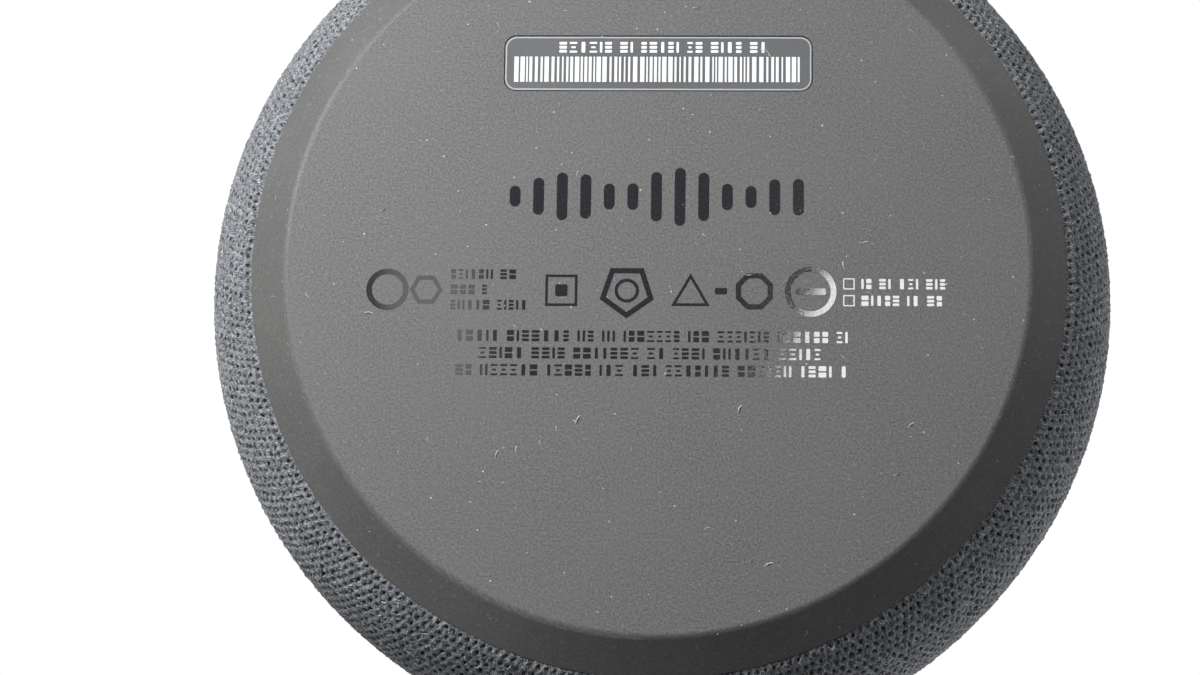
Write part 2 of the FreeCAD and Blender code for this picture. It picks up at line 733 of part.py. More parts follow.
def make_heat_spreader():
    radius = f"({FOOT_RADIUS} - spreader_inset)"
    plate = rod(radius, SPREADER_LOW, "spreader_thickness")
    fins = [
        block("0", f"({step} * fin_pitch)", f"{SPREADER_TOP} - seat_gap", f"2 * {radius}", "fin_thickness",
              "fin_height + seat_gap")
        for step in range(-7, 8)
    ]
    inside_edge = rod(f"{radius} - fin_thickness", SPREADER_LOW, "spreader_thickness + fin_height")
    bosses = rods_around(
        CASE_SCREWS,
        DIAGONALS,
        "case_boss_radius",
        f"{BOARD_TOP} + seat_gap",
        f"{BOX_LOW} - {BOARD_TOP} - 2 * seat_gap",
    )
    sides = "2 * (port_offset + power_jack_width / 2 + jack_clearance)"
    jack_back = f"({JACK_FACE} - power_jack_length - jack_clearance)"
    middle = f"({jack_back} + body_radius / 2)"
    jacks = block("0", middle, BOARD_TOP, sides, "body_radius", f"{BOX_LOW} - {BOARD_TOP}")
    holes = rods_around(CASE_SCREWS, DIAGONALS, "case_hole_radius", BOARD_TOP, f"{BOX_LOW} - {BOARD_TOP}")
    lead_way = rod(
        "lead_spacing / 2 + 2 * lead_radius + jack_clearance / 2",
        BOARD_TOP,
        f"{BOX_LOW} - {BOARD_TOP}",
        "lead_distance",
    )
    fin_field = shared(fused(fins), inside_edge)
    subpart("heat_spreader", without(fused([plate, fin_field, *bosses]), [jacks, lead_way, *holes]))


# Speaker box


def make_speaker_box():
    inside = f"({BOX_RADIUS} - box_wall)"
    cup = turned([
        ("0", BOX_LOW),
        (BOX_RADIUS, BOX_LOW),
        (BOX_RADIUS, CUP_TOP),
        (inside, CUP_TOP),
        (inside, BOX_FLOOR),
        ("0", BOX_FLOOR),
    ])
    grip = f"({PLATE_LOW} + case_head_height + fit_gap + case_screw_length + fit_gap - {BOX_LOW})"
    bosses = rods_around(
        CASE_SCREWS, DIAGONALS, "case_boss_radius", f"{BOX_FLOOR} - seat_gap", f"{grip} + seat_gap"
    )
    bosses += rods_around(
        BOX_SCREWS,
        QUARTERS,
        "box_screw_inset - box_wall / 2",
        f"{BOX_FLOOR} - seat_gap",
        f"{CUP_TOP} - {BOX_FLOOR} + seat_gap",
    )
    holes = rods_around(
        CASE_SCREWS,
        DIAGONALS,
        "case_screw_radius + thread_gap",
        f"{BOX_LOW} - seat_gap",
        f"{grip} + seat_gap",
    )
    holes += rods_around(
        BOX_SCREWS,
        QUARTERS,
        "box_screw_radius + thread_gap",
        f"{SEAT} - box_screw_length - fit_gap",
        "box_screw_length + fit_gap",
    )
    holes.append(rod("grommet_bore", f"{BOX_LOW} - seat_gap", "box_wall + 2 * seat_gap", "lead_distance"))
    subpart("speaker_box_cup", without(fused([cup, *bosses]), holes))
    seal = tube(f"{inside} + fit_gap", f"{BOX_RADIUS} - fit_gap", CUP_TOP, "seal_thickness")
    subpart("speaker_box_seal", seal)


def make_speaker_box_lid():
    lid = tube(f"{BARREL} + fit_gap", BOX_RADIUS, LID_LOW, "lid_thickness")
    posts = rods_around(POSTS, DIAGONALS, "post_radius", f"{SEAT} - seat_gap", "post_height")
    through = "lid_thickness + 2 * seat_gap"
    holes = rods_around(
        POSTS,
        DIAGONALS,
        "box_screw_radius + thread_gap",
        f"{SEAT} - seat_gap",
        "post_height + seat_gap",
    )
    holes += rods_around(BOX_SCREWS, QUARTERS, "box_screw_radius + fit_gap", f"{LID_LOW} - seat_gap", through)
    holes += rods_around(
        DRIVER_SCREWS, DIAGONALS, "driver_screw_radius + thread_gap", f"{LID_LOW} - seat_gap", through
    )
    subpart("speaker_box_lid", without(fused([lid, *posts]), holes))
    screws = [
        screw(
            *around(BOX_SCREWS, angle),
            SEAT,
            "small_head_radius",
            "small_head_height",
            "box_screw_radius",
            "box_screw_length",
        )
        for angle in QUARTERS
    ]
    subpart("box_screws", grouped(screws))


# Loudspeaker driver


def make_driver_frame():
    floor_top = f"({MOTOR_TOP} + basket_wall)"
    basket = turned([
        (MOTOR_BORE, MOTOR_TOP),
        ("basket_foot", MOTOR_TOP),
        ("basket_waist", WAIST_LEVEL),
        (BARREL, BARREL_LOW),
        (BARREL, SEAT),
        (DRIVER_RADIUS, SEAT),
        (DRIVER_RADIUS, DRIVER_TOP),
        (f"{BARREL} - basket_wall", DRIVER_TOP),
        (f"{BARREL} - basket_wall", f"{BARREL_LOW} + basket_wall / 2"),
        (LANDING_OUTSIDE, WAIST_LEVEL),
        (LANDING_INSIDE, WAIST_LEVEL),
        (LANDING_INSIDE, floor_top),
        (MOTOR_BORE, floor_top),
    ])
    window_low = f"({floor_top} + basket_wall / 2)"
    window_height = f"({BARREL_LOW} - basket_wall / 2 - {window_low})"
    windows = [
        swung(
            block(
                BARREL,
                "0",
                window_low,
                f"2 * ({BARREL} - {SPIDER_RIM})",
                "window_width",
                window_height,
            ),
            angle,
        )
        for angle in QUARTERS
    ]
    holes = rods_around(
        DRIVER_SCREWS,
        DIAGONALS,
        "driver_screw_radius + fit_gap",
        f"{SEAT} - seat_gap",
        "driver_flange + 2 * seat_gap",
    )
    subpart("driver_basket", without(basket, windows + holes))
    subpart(
        "driver_gasket",
        tube(GASKET_INSIDE, f"{GASKET_INSIDE} + gasket_width", DRIVER_TOP, "gasket_height"),
    )
    screws = [
        screw(*around(DRIVER_SCREWS, angle), DRIVER_TOP, "small_head_radius - fit_gap", "small_head_height",
              "driver_screw_radius", "driver_screw_length")
        for angle in DIAGONALS
    ]
    subpart("driver_screws", grouped(screws))


def make_driver_motor():
    subpart("driver_top_plate", tube(MOTOR_BORE, "motor_radius", MAGNET_TOP, "motor_plate"))
    subpart(
        "driver_magnet",
        tube(f"{MOTOR_BORE} + magnet_step", "magnet_radius", MAGNET_LOW, "magnet_thickness"),
    )
    plate = rod("motor_radius", f"{MAGNET_LOW} - motor_plate", "motor_plate")
    pole = rod(POLE_RADIUS, f"{MAGNET_LOW} - motor_plate", "2 * motor_plate + magnet_thickness")
    subpart("driver_yoke", fused([plate, pole]))
    strip = block(
        "magnet_radius + seat_gap + 0.5",
        "0",
        f"{MAGNET_LOW} + 0.5",
        "1",
        "3 * lead_spacing",
        "magnet_thickness - 1",
    )
    subpart("driver_terminals", strip)


def make_driver_moving_parts():
    neck_low = f"({DRIVER_TOP} - seat_gap - cone_wall - cone_depth)"
    coil_low = f"({MOTOR_TOP} - motor_plate / 2 - coil_height / 2)"
    inside = f"({FORMER_OUTSIDE} + thread_gap)"
    subpart("driver_cone", turned([
        (inside, neck_low),
        ("cone_radius", f"{neck_low} + cone_depth"),
        ("cone_radius", f"{neck_low} + cone_depth + cone_wall"),
        (inside, f"{neck_low} + cone_wall"),
    ]))
    cone_rise = f"(cone_depth / (cone_radius - {inside}))"
    cap_level = f"({neck_low} + cone_wall + seat_gap + ({CAP_RADIUS} - {inside}) * {cone_rise})"
    cap_inside = f"({CAP_RADIUS} - cap_wall * 1.5)"
    cap_inner_rise = "(cap_rise - cap_wall)"
    subpart("driver_dust_cap", turned([
        ("0", f"{cap_level} + cap_rise"),
        (
            "0",
            f"{cap_level} + {cap_inner_rise}",
            f"-({cap_inside}^2 + {cap_inner_rise}^2) / (2 * {cap_inner_rise})",
        ),
        (cap_inside, cap_level),
        (CAP_RADIUS, cap_level, f"({CAP_RADIUS}^2 + cap_rise^2) / (2 * cap_rise)"),
    ]))
    subpart(
        "driver_coil_former",
        tube("coil_radius", FORMER_OUTSIDE, coil_low, f"{neck_low} + cone_wall - {coil_low}"),
    )
    subpart("driver_voice_coil", tube(inside, COIL_OUTSIDE, coil_low, "coil_height"))


def make_driver_suspension():
    low = f"({DRIVER_TOP} + thread_gap)"
    high = f"({low} + surround_wall)"
    roll = "(roll_width / 2 + roll_flatness)"
    subpart("driver_surround", turned([
        (f"{ROLL_OUTSIDE} + surround_lip", low),
        (f"{ROLL_OUTSIDE} + surround_lip", high),
        (ROLL_OUTSIDE, high, roll),
        (ROLL_INSIDE, high),
        (f"{ROLL_INSIDE} - surround_lip", high),
        (f"{ROLL_INSIDE} - surround_lip", low),
        (f"{ROLL_INSIDE} + surround_wall", low, f"-({roll} - surround_wall)"),
        (f"{ROLL_OUTSIDE} - surround_wall", low),
    ]))
    base = f"({WAIST_LEVEL} + thread_gap)"
    collar = f"({FORMER_OUTSIDE} + thread_gap)"
    step = f"(({LANDING_INSIDE} - {collar}) / {SPIDER_STEPS})"
    waves = [
        (
            f"({LANDING_INSIDE} - {step} * {n})", f"({base} + spider_wave * {n % 2})"
        ) for n in range(1, SPIDER_STEPS)
    ]
    crest = [(LANDING_INSIDE, f"{base} + spider_wall")] + [(r, f"{z} + spider_wall") for r, z in waves]
    end = [(collar, base), (collar, f"{base} + spider_wall")]
    rim = [(SPIDER_RIM, base), (SPIDER_RIM, f"{base} + spider_wall")]
    subpart("driver_spider", turned([*rim, *crest, end[1], end[0], *reversed(waves), (LANDING_INSIDE, base)]))


def make_speaker_lead():
    top = worth(f"{MAGNET_LOW} + magnet_thickness / 2")
    low = worth(LEAD_LOW)
    near = worth("magnet_radius + seat_gap + 1")
    down = worth("lead_distance")
    bend = worth("lead_bend")
    wires = []
    for side in (-1, 1):
        y = side * worth("lead_spacing") / 2
        corner = 0.5**0.5 * bend
        run_in = Part.LineSegment(FreeCAD.Vector(near, y, top), FreeCAD.Vector(down - bend, y, top))
        elbow = Part.Arc(
            FreeCAD.Vector(down - bend, y, top),
            FreeCAD.Vector(down - bend + corner, y, top - bend + corner),
            FreeCAD.Vector(down, y, top - bend),
        )
        drop = Part.LineSegment(FreeCAD.Vector(down, y, top - bend), FreeCAD.Vector(down, y, low))
        route = Part.Wire([run_in.toShape(), elbow.toShape(), drop.toShape()])
        section = Part.Wire(
            Part.makeCircle(worth("lead_radius"), FreeCAD.Vector(near, y, top), FreeCAD.Vector(1, 0, 0))
        )
        wires.append(route.makePipeShell([section], True, True))
    lead = doc.addObject("Part::Feature", "lead")
    lead.Shape = Part.makeCompound(wires)
    subpart("speaker_lead", lead)
    flange = "0.6"
    grommet = fused([
        rod(
            "grommet_bore - thread_gap",
            f"{BOX_LOW} - {flange}",
            f"box_wall + 2 * {flange}",
            "lead_distance",
        ),
        rod("grommet_bore + 0.8", f"{BOX_LOW} - seat_gap - {flange}", flange, "lead_distance"),
        rod("grommet_bore + 0.8", f"{BOX_FLOOR} + seat_gap", flange, "lead_distance"),
    ])
    ways = [
        rod(
            "lead_radius + thread_gap",
            f"{BOX_LOW} - 2",
            "box_wall + 4",
            "lead_distance",
            f"{side} * lead_spacing / 2",
        )
        for side in (-1, 1)
    ]
    subpart("lead_grommet", without(grommet, ways))


# Top of the body


def make_top_frame():
    radius = f"({high_side(FRAME_TOP, GRILLE_INSIDE)} - fit_gap)"
    plate = rod(radius, FRAME_LOW, "frame_thickness")
    diffuser = doc.addObject("Part::Cone", "diffuser")
    bind(diffuser, "Radius1", "diffuser_tip")
    bind(diffuser, "Radius2", "diffuser_root")
    bind(diffuser, "Height", "post_height / 2")
    place(diffuser, z=f"{FRAME_LOW} - post_height / 2")
    slot = block(
        "0",
        f"-{RIBBON_Y}",
        f"{FRAME_LOW} - seat_gap",
        "ribbon_width + 2",
        "ribbon_thickness + 2",
        "frame_thickness + 2 * seat_gap",
    )
    holes = rods_around(
        POSTS,
        DIAGONALS,
        "box_screw_radius + fit_gap",
        f"{FRAME_LOW} - seat_gap",
        "frame_thickness + 2 * seat_gap",
    )
    subpart("top_frame", without(fused([plate, diffuser]), [slot, *holes]))


def make_upper_board():
    board = rod(UPPER_BOARD, f"{UPPER_TOP} - upper_board_thickness", "upper_board_thickness")
    holes = rods_around(
        POSTS,
        DIAGONALS,
        "box_screw_radius + fit_gap",
        f"{UPPER_TOP} - upper_board_thickness - seat_gap",
        "upper_board_thickness + 2 * seat_gap",
    )
    subpart("upper_board", without(board, holes))
    length = "(upper_board_thickness + frame_thickness + post_height - 2 * seat_gap)"
    screws = [
        screw(
            *around(POSTS, angle),
            UPPER_TOP,
            "small_head_radius",
            "small_head_height",
            "box_screw_radius",
            length,
        )
        for angle in DIAGONALS
    ]
    subpart("frame_screws", grouped(screws))
    lights = [swung(block(LIGHT_CIRCLE, "0", UPPER_TOP, "1.2", "2", "0.8"), angle) for angle in LIGHTS]
    subpart("lights", grouped(lights))
    microphones = [
        swung(
            block(MICROPHONES, "0", UPPER_TOP, "2.6", "3.6", "microphone_height"), angle
        ) for angle in DIAGONALS
    ]
    subpart("microphones", grouped(microphones))
    gasket_low = f"({UPPER_TOP} + microphone_height + seat_gap)"
    gaskets = [
        without(
            rod("1.6", gasket_low, f"{COVER_LOW} - seat_gap - {gasket_low}", *around(MICROPHONES, angle)),
            [rod("microphone_hole", f"{gasket_low} - seat_gap", "switch_room", *around(MICROPHONES, angle))],
        )
        for angle in DIAGONALS
    ]
    subpart("microphone_gaskets", grouped(gaskets))
    subpart("upper_chips", grouped([
        block("0", "0", UPPER_TOP, "6", "6", "0.9"),
        block("9", "9", UPPER_TOP, "4", "5", "0.9"),
        block("-10", "8", UPPER_TOP, "3", "4", "0.9"),
    ]))


def make_ribbon():
    """The flat cable that joins the two boards, round the front of the speaker box."""
    low = f"({BOARD_TOP} + ribbon_socket_height / 2)"
    high = f"({UPPER_TOP} + ribbon_socket_height / 2)"
    inner = f"(-{RIBBON_Y} + ribbon_thickness)"
    outer = f"(-{RIBBON_Y})"
    end = f"(-({UPPER_BOARD} - 2))"
    low_end = f"(-({FOOT_RADIUS} - board_inset - 2))"
    small = "(ribbon_bend - ribbon_thickness)"
    ribbon = padded("YZ_Plane", [
        (low_end, low),
        (low_end, f"{low} + ribbon_thickness"),
        (f"{inner} + {small}", f"{low} + ribbon_thickness", f"-{small}"),
        (inner, f"{low} + ribbon_bend"),
        (inner, f"{high} - ribbon_bend", f"-{small}"),
        (f"{inner} + {small}", f"{high} - ribbon_thickness"),
        (end, f"{high} - ribbon_thickness"),
        (end, high),
        (f"{outer} + ribbon_bend", high, "ribbon_bend"),
        (outer, f"{high} - ribbon_bend"),
        (outer, f"{low} + ribbon_bend", "ribbon_bend"),
        (f"{outer} + ribbon_bend", low),
    ], "ribbon_width", both_ways=True)
    subpart("ribbon_cable", ribbon)
    depth = "4"
    subpart(
        "lower_ribbon_socket",
        block(
            "0",
            f"({low_end} + {depth} / 2)",
            BOARD_TOP,
            "ribbon_width + 1.6",
            depth,
            "ribbon_socket_height",
        ),
    )
    subpart(
        "upper_ribbon_socket",
        block(
            "0",
            f"({end} + {depth} / 2)",
            UPPER_TOP,
            "ribbon_width + 1.6",
            depth,
            "ribbon_socket_height",
        ),
    )


def make_light_ring():
    step = f"({high_side(RIM_LEVEL, 'fabric_thickness')} - fit_gap)"
    crown = "(rim_drop)"
    subpart("light_ring", turned([
        (SKIRT_INSIDE, f"{FRAME_TOP} + seat_gap"),
        (SKIRT_OUTSIDE, f"{FRAME_TOP} + seat_gap"),
        (SKIRT_OUTSIDE, "body_height - grille_drop + fit_gap"),
        (step, "body_height - grille_drop + fit_gap"),
        (step, RIM_LEVEL),
        (RIM_RADIUS, RIM_LEVEL, crown),
        (f"{RIM_RADIUS} - {crown}", "body_height"),
        (RING_INSIDE, "body_height"),
        (RING_INSIDE, RING_SEAT),
        (SKIRT_INSIDE, RING_SEAT),
    ]))


def make_top_cover():
    edge = f"({RING_INSIDE} - fit_gap)"
    plate = turned([
        ("0", COVER_LOW),
        (edge, COVER_LOW),
        (edge, "body_height - cover_edge", "cover_edge"),
        (f"{edge} - cover_edge", "body_height"),
        ("0", "body_height"),
    ])
    leg_circle = f"({UPPER_BOARD} + ribbon_gap / 2 + leg_thickness / 2)"
    leg_low = f"({FRAME_TOP} + seat_gap)"
    legs = [
        swung(
            block(
                leg_circle,
                "0",
                leg_low,
                "leg_thickness",
                "leg_width",
                f"{COVER_LOW} - {leg_low} + seat_gap",
            ),
            angle,
        )
        for angle in LEGS
    ]
    through = "cover_thickness + 2 * seat_gap"
    holes = rods_around(
        "button_circle", QUARTERS, "button_radius + slide_gap", f"{COVER_LOW} - seat_gap", through
    )
    holes += rods_around(MICROPHONES, DIAGONALS, "microphone_hole", f"{COVER_LOW} - seat_gap", through)
    subpart("top_cover", without(fused([plate, *legs]), holes))


def make_buttons():
    flange_top = f"({COVER_LOW} - fit_gap)"
    cap_top = "(body_height + button_proud)"
    hole_low = f"({UPPER_TOP} + seat_gap)"
    switches = []
    for name, angle in BUTTONS.items():
        x, y = around("button_circle", angle)
        button = turned([
            ("0", FLANGE_UNDER),
            ("button_radius + button_flange", FLANGE_UNDER),
            ("button_radius + button_flange", flange_top),
            ("button_radius", flange_top),
            ("button_radius", f"{cap_top} - button_edge", "button_edge"),
            ("button_radius - button_edge", cap_top),
            ("0", cap_top),
        ])
        subpart("button_" + name, place(button, x, y))
        plunger_low = f"({hole_low} + button_travel + thread_gap)"
        subpart(
            "plunger_" + name,
            rod("plunger_radius", plunger_low, f"{FLANGE_UNDER} - thread_gap - {plunger_low}", x, y),
        )
        body = block(x, y, UPPER_TOP, "switch_size", "switch_size", "switch_height")
        switches.append(without(body, [rod("plunger_radius + thread_gap", hole_low, "switch_height", x, y)]))
    subpart("button_switches", grouped(switches))


def check():
    """Stops unless every object is up to date and every piece is a valid closed solid."""
    for thing in doc.Objects:
        wrong = {"Invalid", "Error"} & set(thing.State)
        if wrong:
            raise RuntimeError(f"{thing.Name} ({thing.Label}) is {wrong}")
    for thing in subparts:
        shape = thing.Shape
        if shape.isNull() or not shape.isValid() or shape.Volume <= 0 or not shape.Solids:
            raise RuntimeError(f"{thing.Label} is not a valid solid")


def main():
    fill_sheet()
    make_foot()
    make_foot_trim()
    make_bottom_cover()
    make_side()
    make_bezel()
    make_sockets()
    make_main_board()
    make_heat_spreader()
    make_speaker_box()
    make_speaker_box_lid()
    make_driver_frame()
    make_driver_motor()
    make_driver_moving_parts()
    make_driver_suspension()
    make_speaker_lead()
    make_top_frame()
    make_upper_board()
    make_ribbon()
    make_light_ring()
    make_top_cover()
    make_buttons()
    doc.recompute()
    check()
    os.makedirs("parts", exist_ok=True)
    for thing in subparts:
        thing.Shape.exportStep(os.path.join("parts", thing.Label + ".step"))
    print(len(subparts), "sub-parts written")


main()
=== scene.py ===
"""The looks of the smart speaker: the knitted side, the printed foot, the top and all its finishes."""

import json
import math

import bmesh
import bpy
import numpy as np
from mathutils import Matrix, Vector


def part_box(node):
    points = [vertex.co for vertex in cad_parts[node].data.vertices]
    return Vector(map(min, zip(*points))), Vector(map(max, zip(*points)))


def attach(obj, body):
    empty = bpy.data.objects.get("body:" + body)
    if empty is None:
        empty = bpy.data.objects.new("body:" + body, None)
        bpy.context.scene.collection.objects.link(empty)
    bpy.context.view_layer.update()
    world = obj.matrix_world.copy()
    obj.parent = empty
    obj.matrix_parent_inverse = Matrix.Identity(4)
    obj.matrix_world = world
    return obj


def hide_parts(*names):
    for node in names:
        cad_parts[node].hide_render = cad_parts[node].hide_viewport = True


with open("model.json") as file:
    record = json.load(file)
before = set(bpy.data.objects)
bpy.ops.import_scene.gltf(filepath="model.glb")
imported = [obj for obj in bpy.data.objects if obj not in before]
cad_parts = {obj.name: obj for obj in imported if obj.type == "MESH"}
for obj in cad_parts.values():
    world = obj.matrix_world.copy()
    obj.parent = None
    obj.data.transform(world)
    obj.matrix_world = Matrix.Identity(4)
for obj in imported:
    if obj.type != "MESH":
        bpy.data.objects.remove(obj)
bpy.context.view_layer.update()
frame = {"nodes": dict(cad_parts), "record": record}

MM = 0.001
CASE = "case"
SEED = 7

# The outline of the side, in millimetres, as in the design: two arcs with an upright stretch between them.
BODY_RADIUS = 49.5
LOWER_ARC = 20.762
UPPER_ARC = 34.451
LOWER_CENTRE = (BODY_RADIUS - LOWER_ARC, 18.0)
UPPER_CENTRE = (BODY_RADIUS - UPPER_ARC, 25.0)
SLEEVE_LOW = 3.35
SLEEVE_HIGH = 41.25

# The cut-out for the sockets: half its width, its top and its corners, in millimetres.
PORT_HALF = 14.8
PORT_TOP = 16.8
PORT_CORNER = 3.3

# The knit: stitches round the side, rows from the foot to the light ring, and points along each stitch.
STITCHES = 312
ROWS = 34
STEPS = 4

# The sleeve's quarters, in order round the side from the first one's edge.
QUARTERS = ("back", "left", "front", "right")
FIRST_EDGE = math.radians(45)

# The foot's outline in radius and height: the flat sole, its edge and the sloping band. All in millimetres.
FOOT_OUTLINE = ((0.5, -0.006), (39.2, -0.006), (39.9, 0.25), (43.2, 3.2))
SOLE_EDGE = (39.1, 39.4)

# Where printed shapes start above the base plane, and how thick their ink is, in millimetres.
SOLE_LEVEL = -0.012
SOLE_INK = 0.011
LABEL_LEVEL = 0.068
LABEL_INK = 0.01

# Nodes that most of the finishes use.
MATH = "ShaderNodeMath"
VECTOR = "ShaderNodeVectorMath"
RANGE = "ShaderNodeMapRange"
NOISE = "ShaderNodeTexNoise"
BUMP = "ShaderNodeBump"
MIX = "ShaderNodeMix"

# A mix of two colours takes its factor at input 0 and its colours at 6 and 7, and gives output 2.
COLOURS = {"out": 2, "data_type": "RGBA"}


def linear(code):
    """An sRGB hex code as a linear colour with alpha."""
    channels = [int(code[i : i + 2], 16) / 255 for i in (0, 2, 4)]
    return (*(c / 12.92 if c <= 0.04045 else ((c + 0.055) / 1.055) ** 2.4 for c in channels), 1.0)


def grain(size_mm):
    """The texture scale, in repeats a metre, that gives features of about that size."""
    return 1 / (size_mm * MM)


def wire(tree, node, links):
    """Gives a node's inputs plain values, or links them to other nodes' outputs."""
    for name, value in links.items():
        if isinstance(value, bpy.types.NodeSocket):
            tree.links.new(value, node.inputs[name])
        else:
            node.inputs[name].default_value = value


def add(tree, kind, links=None, out=0, **settings):
    """Adds a node with its settings and links. Returns the output asked for, or all of them for None."""
    made = tree.nodes.new(kind)
    for name, value in settings.items():
        setattr(made, name, value)
    wire(tree, made, links or {})
    return made.outputs if out is None else made.outputs[out]


def new_material(name):
    """A material with only its output and Principled nodes."""
    made = bpy.data.materials.new(name)
    made.use_nodes = True
    tree = made.node_tree
    return made, tree, tree.nodes["Principled BSDF"]


# Finishes


def finish(name, code, roughness, ior, grain_mm, bump_mm, mottle=0.25, metallic=0.0, stretch=(1, 1, 1)):
    """A moulded, cast, coated or stamped finish: its colour drifts a little and its surface has a grain."""
    made, tree, shader = new_material(name)
    place = add(tree, "ShaderNodeTexCoord", out="Object")
    drawn = add(tree, VECTOR, {0: place, 1: stretch}, operation="MULTIPLY")
    fine = add(tree, NOISE, {"Vector": drawn, "Scale": grain(grain_mm), "Detail": 4.0})
    broad = add(tree, NOISE, {"Vector": place, "Scale": grain(9.0), "Detail": 2.0})
    base = linear(code)[:3]
    dark = (*(c * (1 - mottle) for c in base), 1.0)
    light = (*(min(c * (1 + mottle) + 0.004, 1) for c in base), 1.0)
    share = add(tree, MATH, {0: broad, 1: 0.4}, operation="MULTIPLY")
    both = add(tree, MATH, {0: fine, 1: 0.6, 2: share}, operation="MULTIPLY_ADD")
    tone = add(tree, RANGE, {"Value": both, "From Min": 0.3, "From Max": 0.7})
    gloss = {"Value": broad, "From Min": 0.3, "From Max": 0.7}
    gloss |= {"To Min": roughness - 0.06, "To Max": roughness + 0.06}
    wire(tree, shader, {
        "Base Color": add(tree, MIX, {0: tone, 6: dark, 7: light}, **COLOURS),
        "Roughness": add(tree, RANGE, gloss),
        "Metallic": metallic,
        "IOR": ior,
        "Normal": add(tree, BUMP, {"Height": fine, "Distance": bump_mm * MM, "Strength": 0.6}),
    })
    return made


def foot_rubber():
    """Moulded black rubber."""
    # The sole's fine leathery grain scatters the light to a soft grey. The band is smooth and darker.
    made, tree, shader = new_material("foot rubber, grained sole and smooth band")
    place = add(tree, "ShaderNodeTexCoord", out="Object")
    level = add(tree, VECTOR, {0: place, 1: (1, 1, 0)}, operation="MULTIPLY")
    radius = add(tree, VECTOR, {0: level}, out="Value", operation="LENGTH")
    inner, outer = (r * MM for r in SOLE_EDGE)
    edge = {"Value": radius, "From Min": inner, "From Max": outer, "To Min": 1.0, "To Max": 0.0}
    sole = add(tree, RANGE, edge, interpolation_type="SMOOTHSTEP")
    leather = add(tree, NOISE, {"Vector": place, "Scale": grain(0.22), "Detail": 5.0})
    pores = add(tree, "ShaderNodeTexVoronoi", {"Vector": place, "Scale": 3.6 / MM}, out="Distance")
    cloud = add(tree, NOISE, {"Vector": place, "Scale": grain(14.0), "Detail": 3.0})
    specks = add(tree, NOISE, {"Vector": place, "Scale": grain(0.5), "Detail": 6.0})
    ridges = add(tree, RANGE, {"Value": leather, "From Min": 0.35, "From Max": 0.65})
    rubber = add(tree, MIX, {0: ridges, 6: linear("525253"), 7: linear("727272")}, **COLOURS)
    haze = add(tree, RANGE, {"Value": cloud, "From Min": 0.3, "From Max": 0.7, "To Max": 0.35})
    rubber = add(tree, MIX, {0: haze, 6: rubber, 7: linear("6a6a6a")}, **COLOURS)
    share = add(tree, MATH, {0: cloud, 1: 0.3}, operation="MULTIPLY")
    speckle = add(tree, MATH, {0: leather, 1: 0.7, 2: share}, operation="MULTIPLY_ADD")
    speckle = add(tree, RANGE, {"Value": speckle, "From Min": 0.35, "From Max": 0.65})
    band = add(tree, MIX, {0: speckle, 6: linear("4e4e4f"), 7: linear("636362")}, **COLOURS)
    colour = add(tree, MIX, {0: sole, 6: band, 7: rubber}, **COLOURS)
    dust = add(tree, RANGE, {"Value": specks, "From Min": 0.62, "From Max": 0.72, "To Max": 0.16})
    relief = add(tree, MATH, {0: pores, 1: 0.5, 2: leather}, operation="MULTIPLY_ADD")
    shown = add(tree, RANGE, {"Value": sole, "To Min": 0.12, "To Max": 1.0})
    relief = add(tree, MATH, {0: relief, 1: shown}, operation="MULTIPLY")
    wire(tree, shader, {
        "Base Color": add(tree, MIX, {0: dust, 6: colour, 7: linear("b8b4ae")}, **COLOURS),
        "Roughness": add(tree, RANGE, {"Value": sole, "To Min": 0.5, "To Max": 0.62}),
        "Specular IOR Level": 0.35,
        "Normal": add(tree, BUMP, {"Height": relief, "Distance": 0.05 * MM, "Strength": 0.5}),
    })
    return made


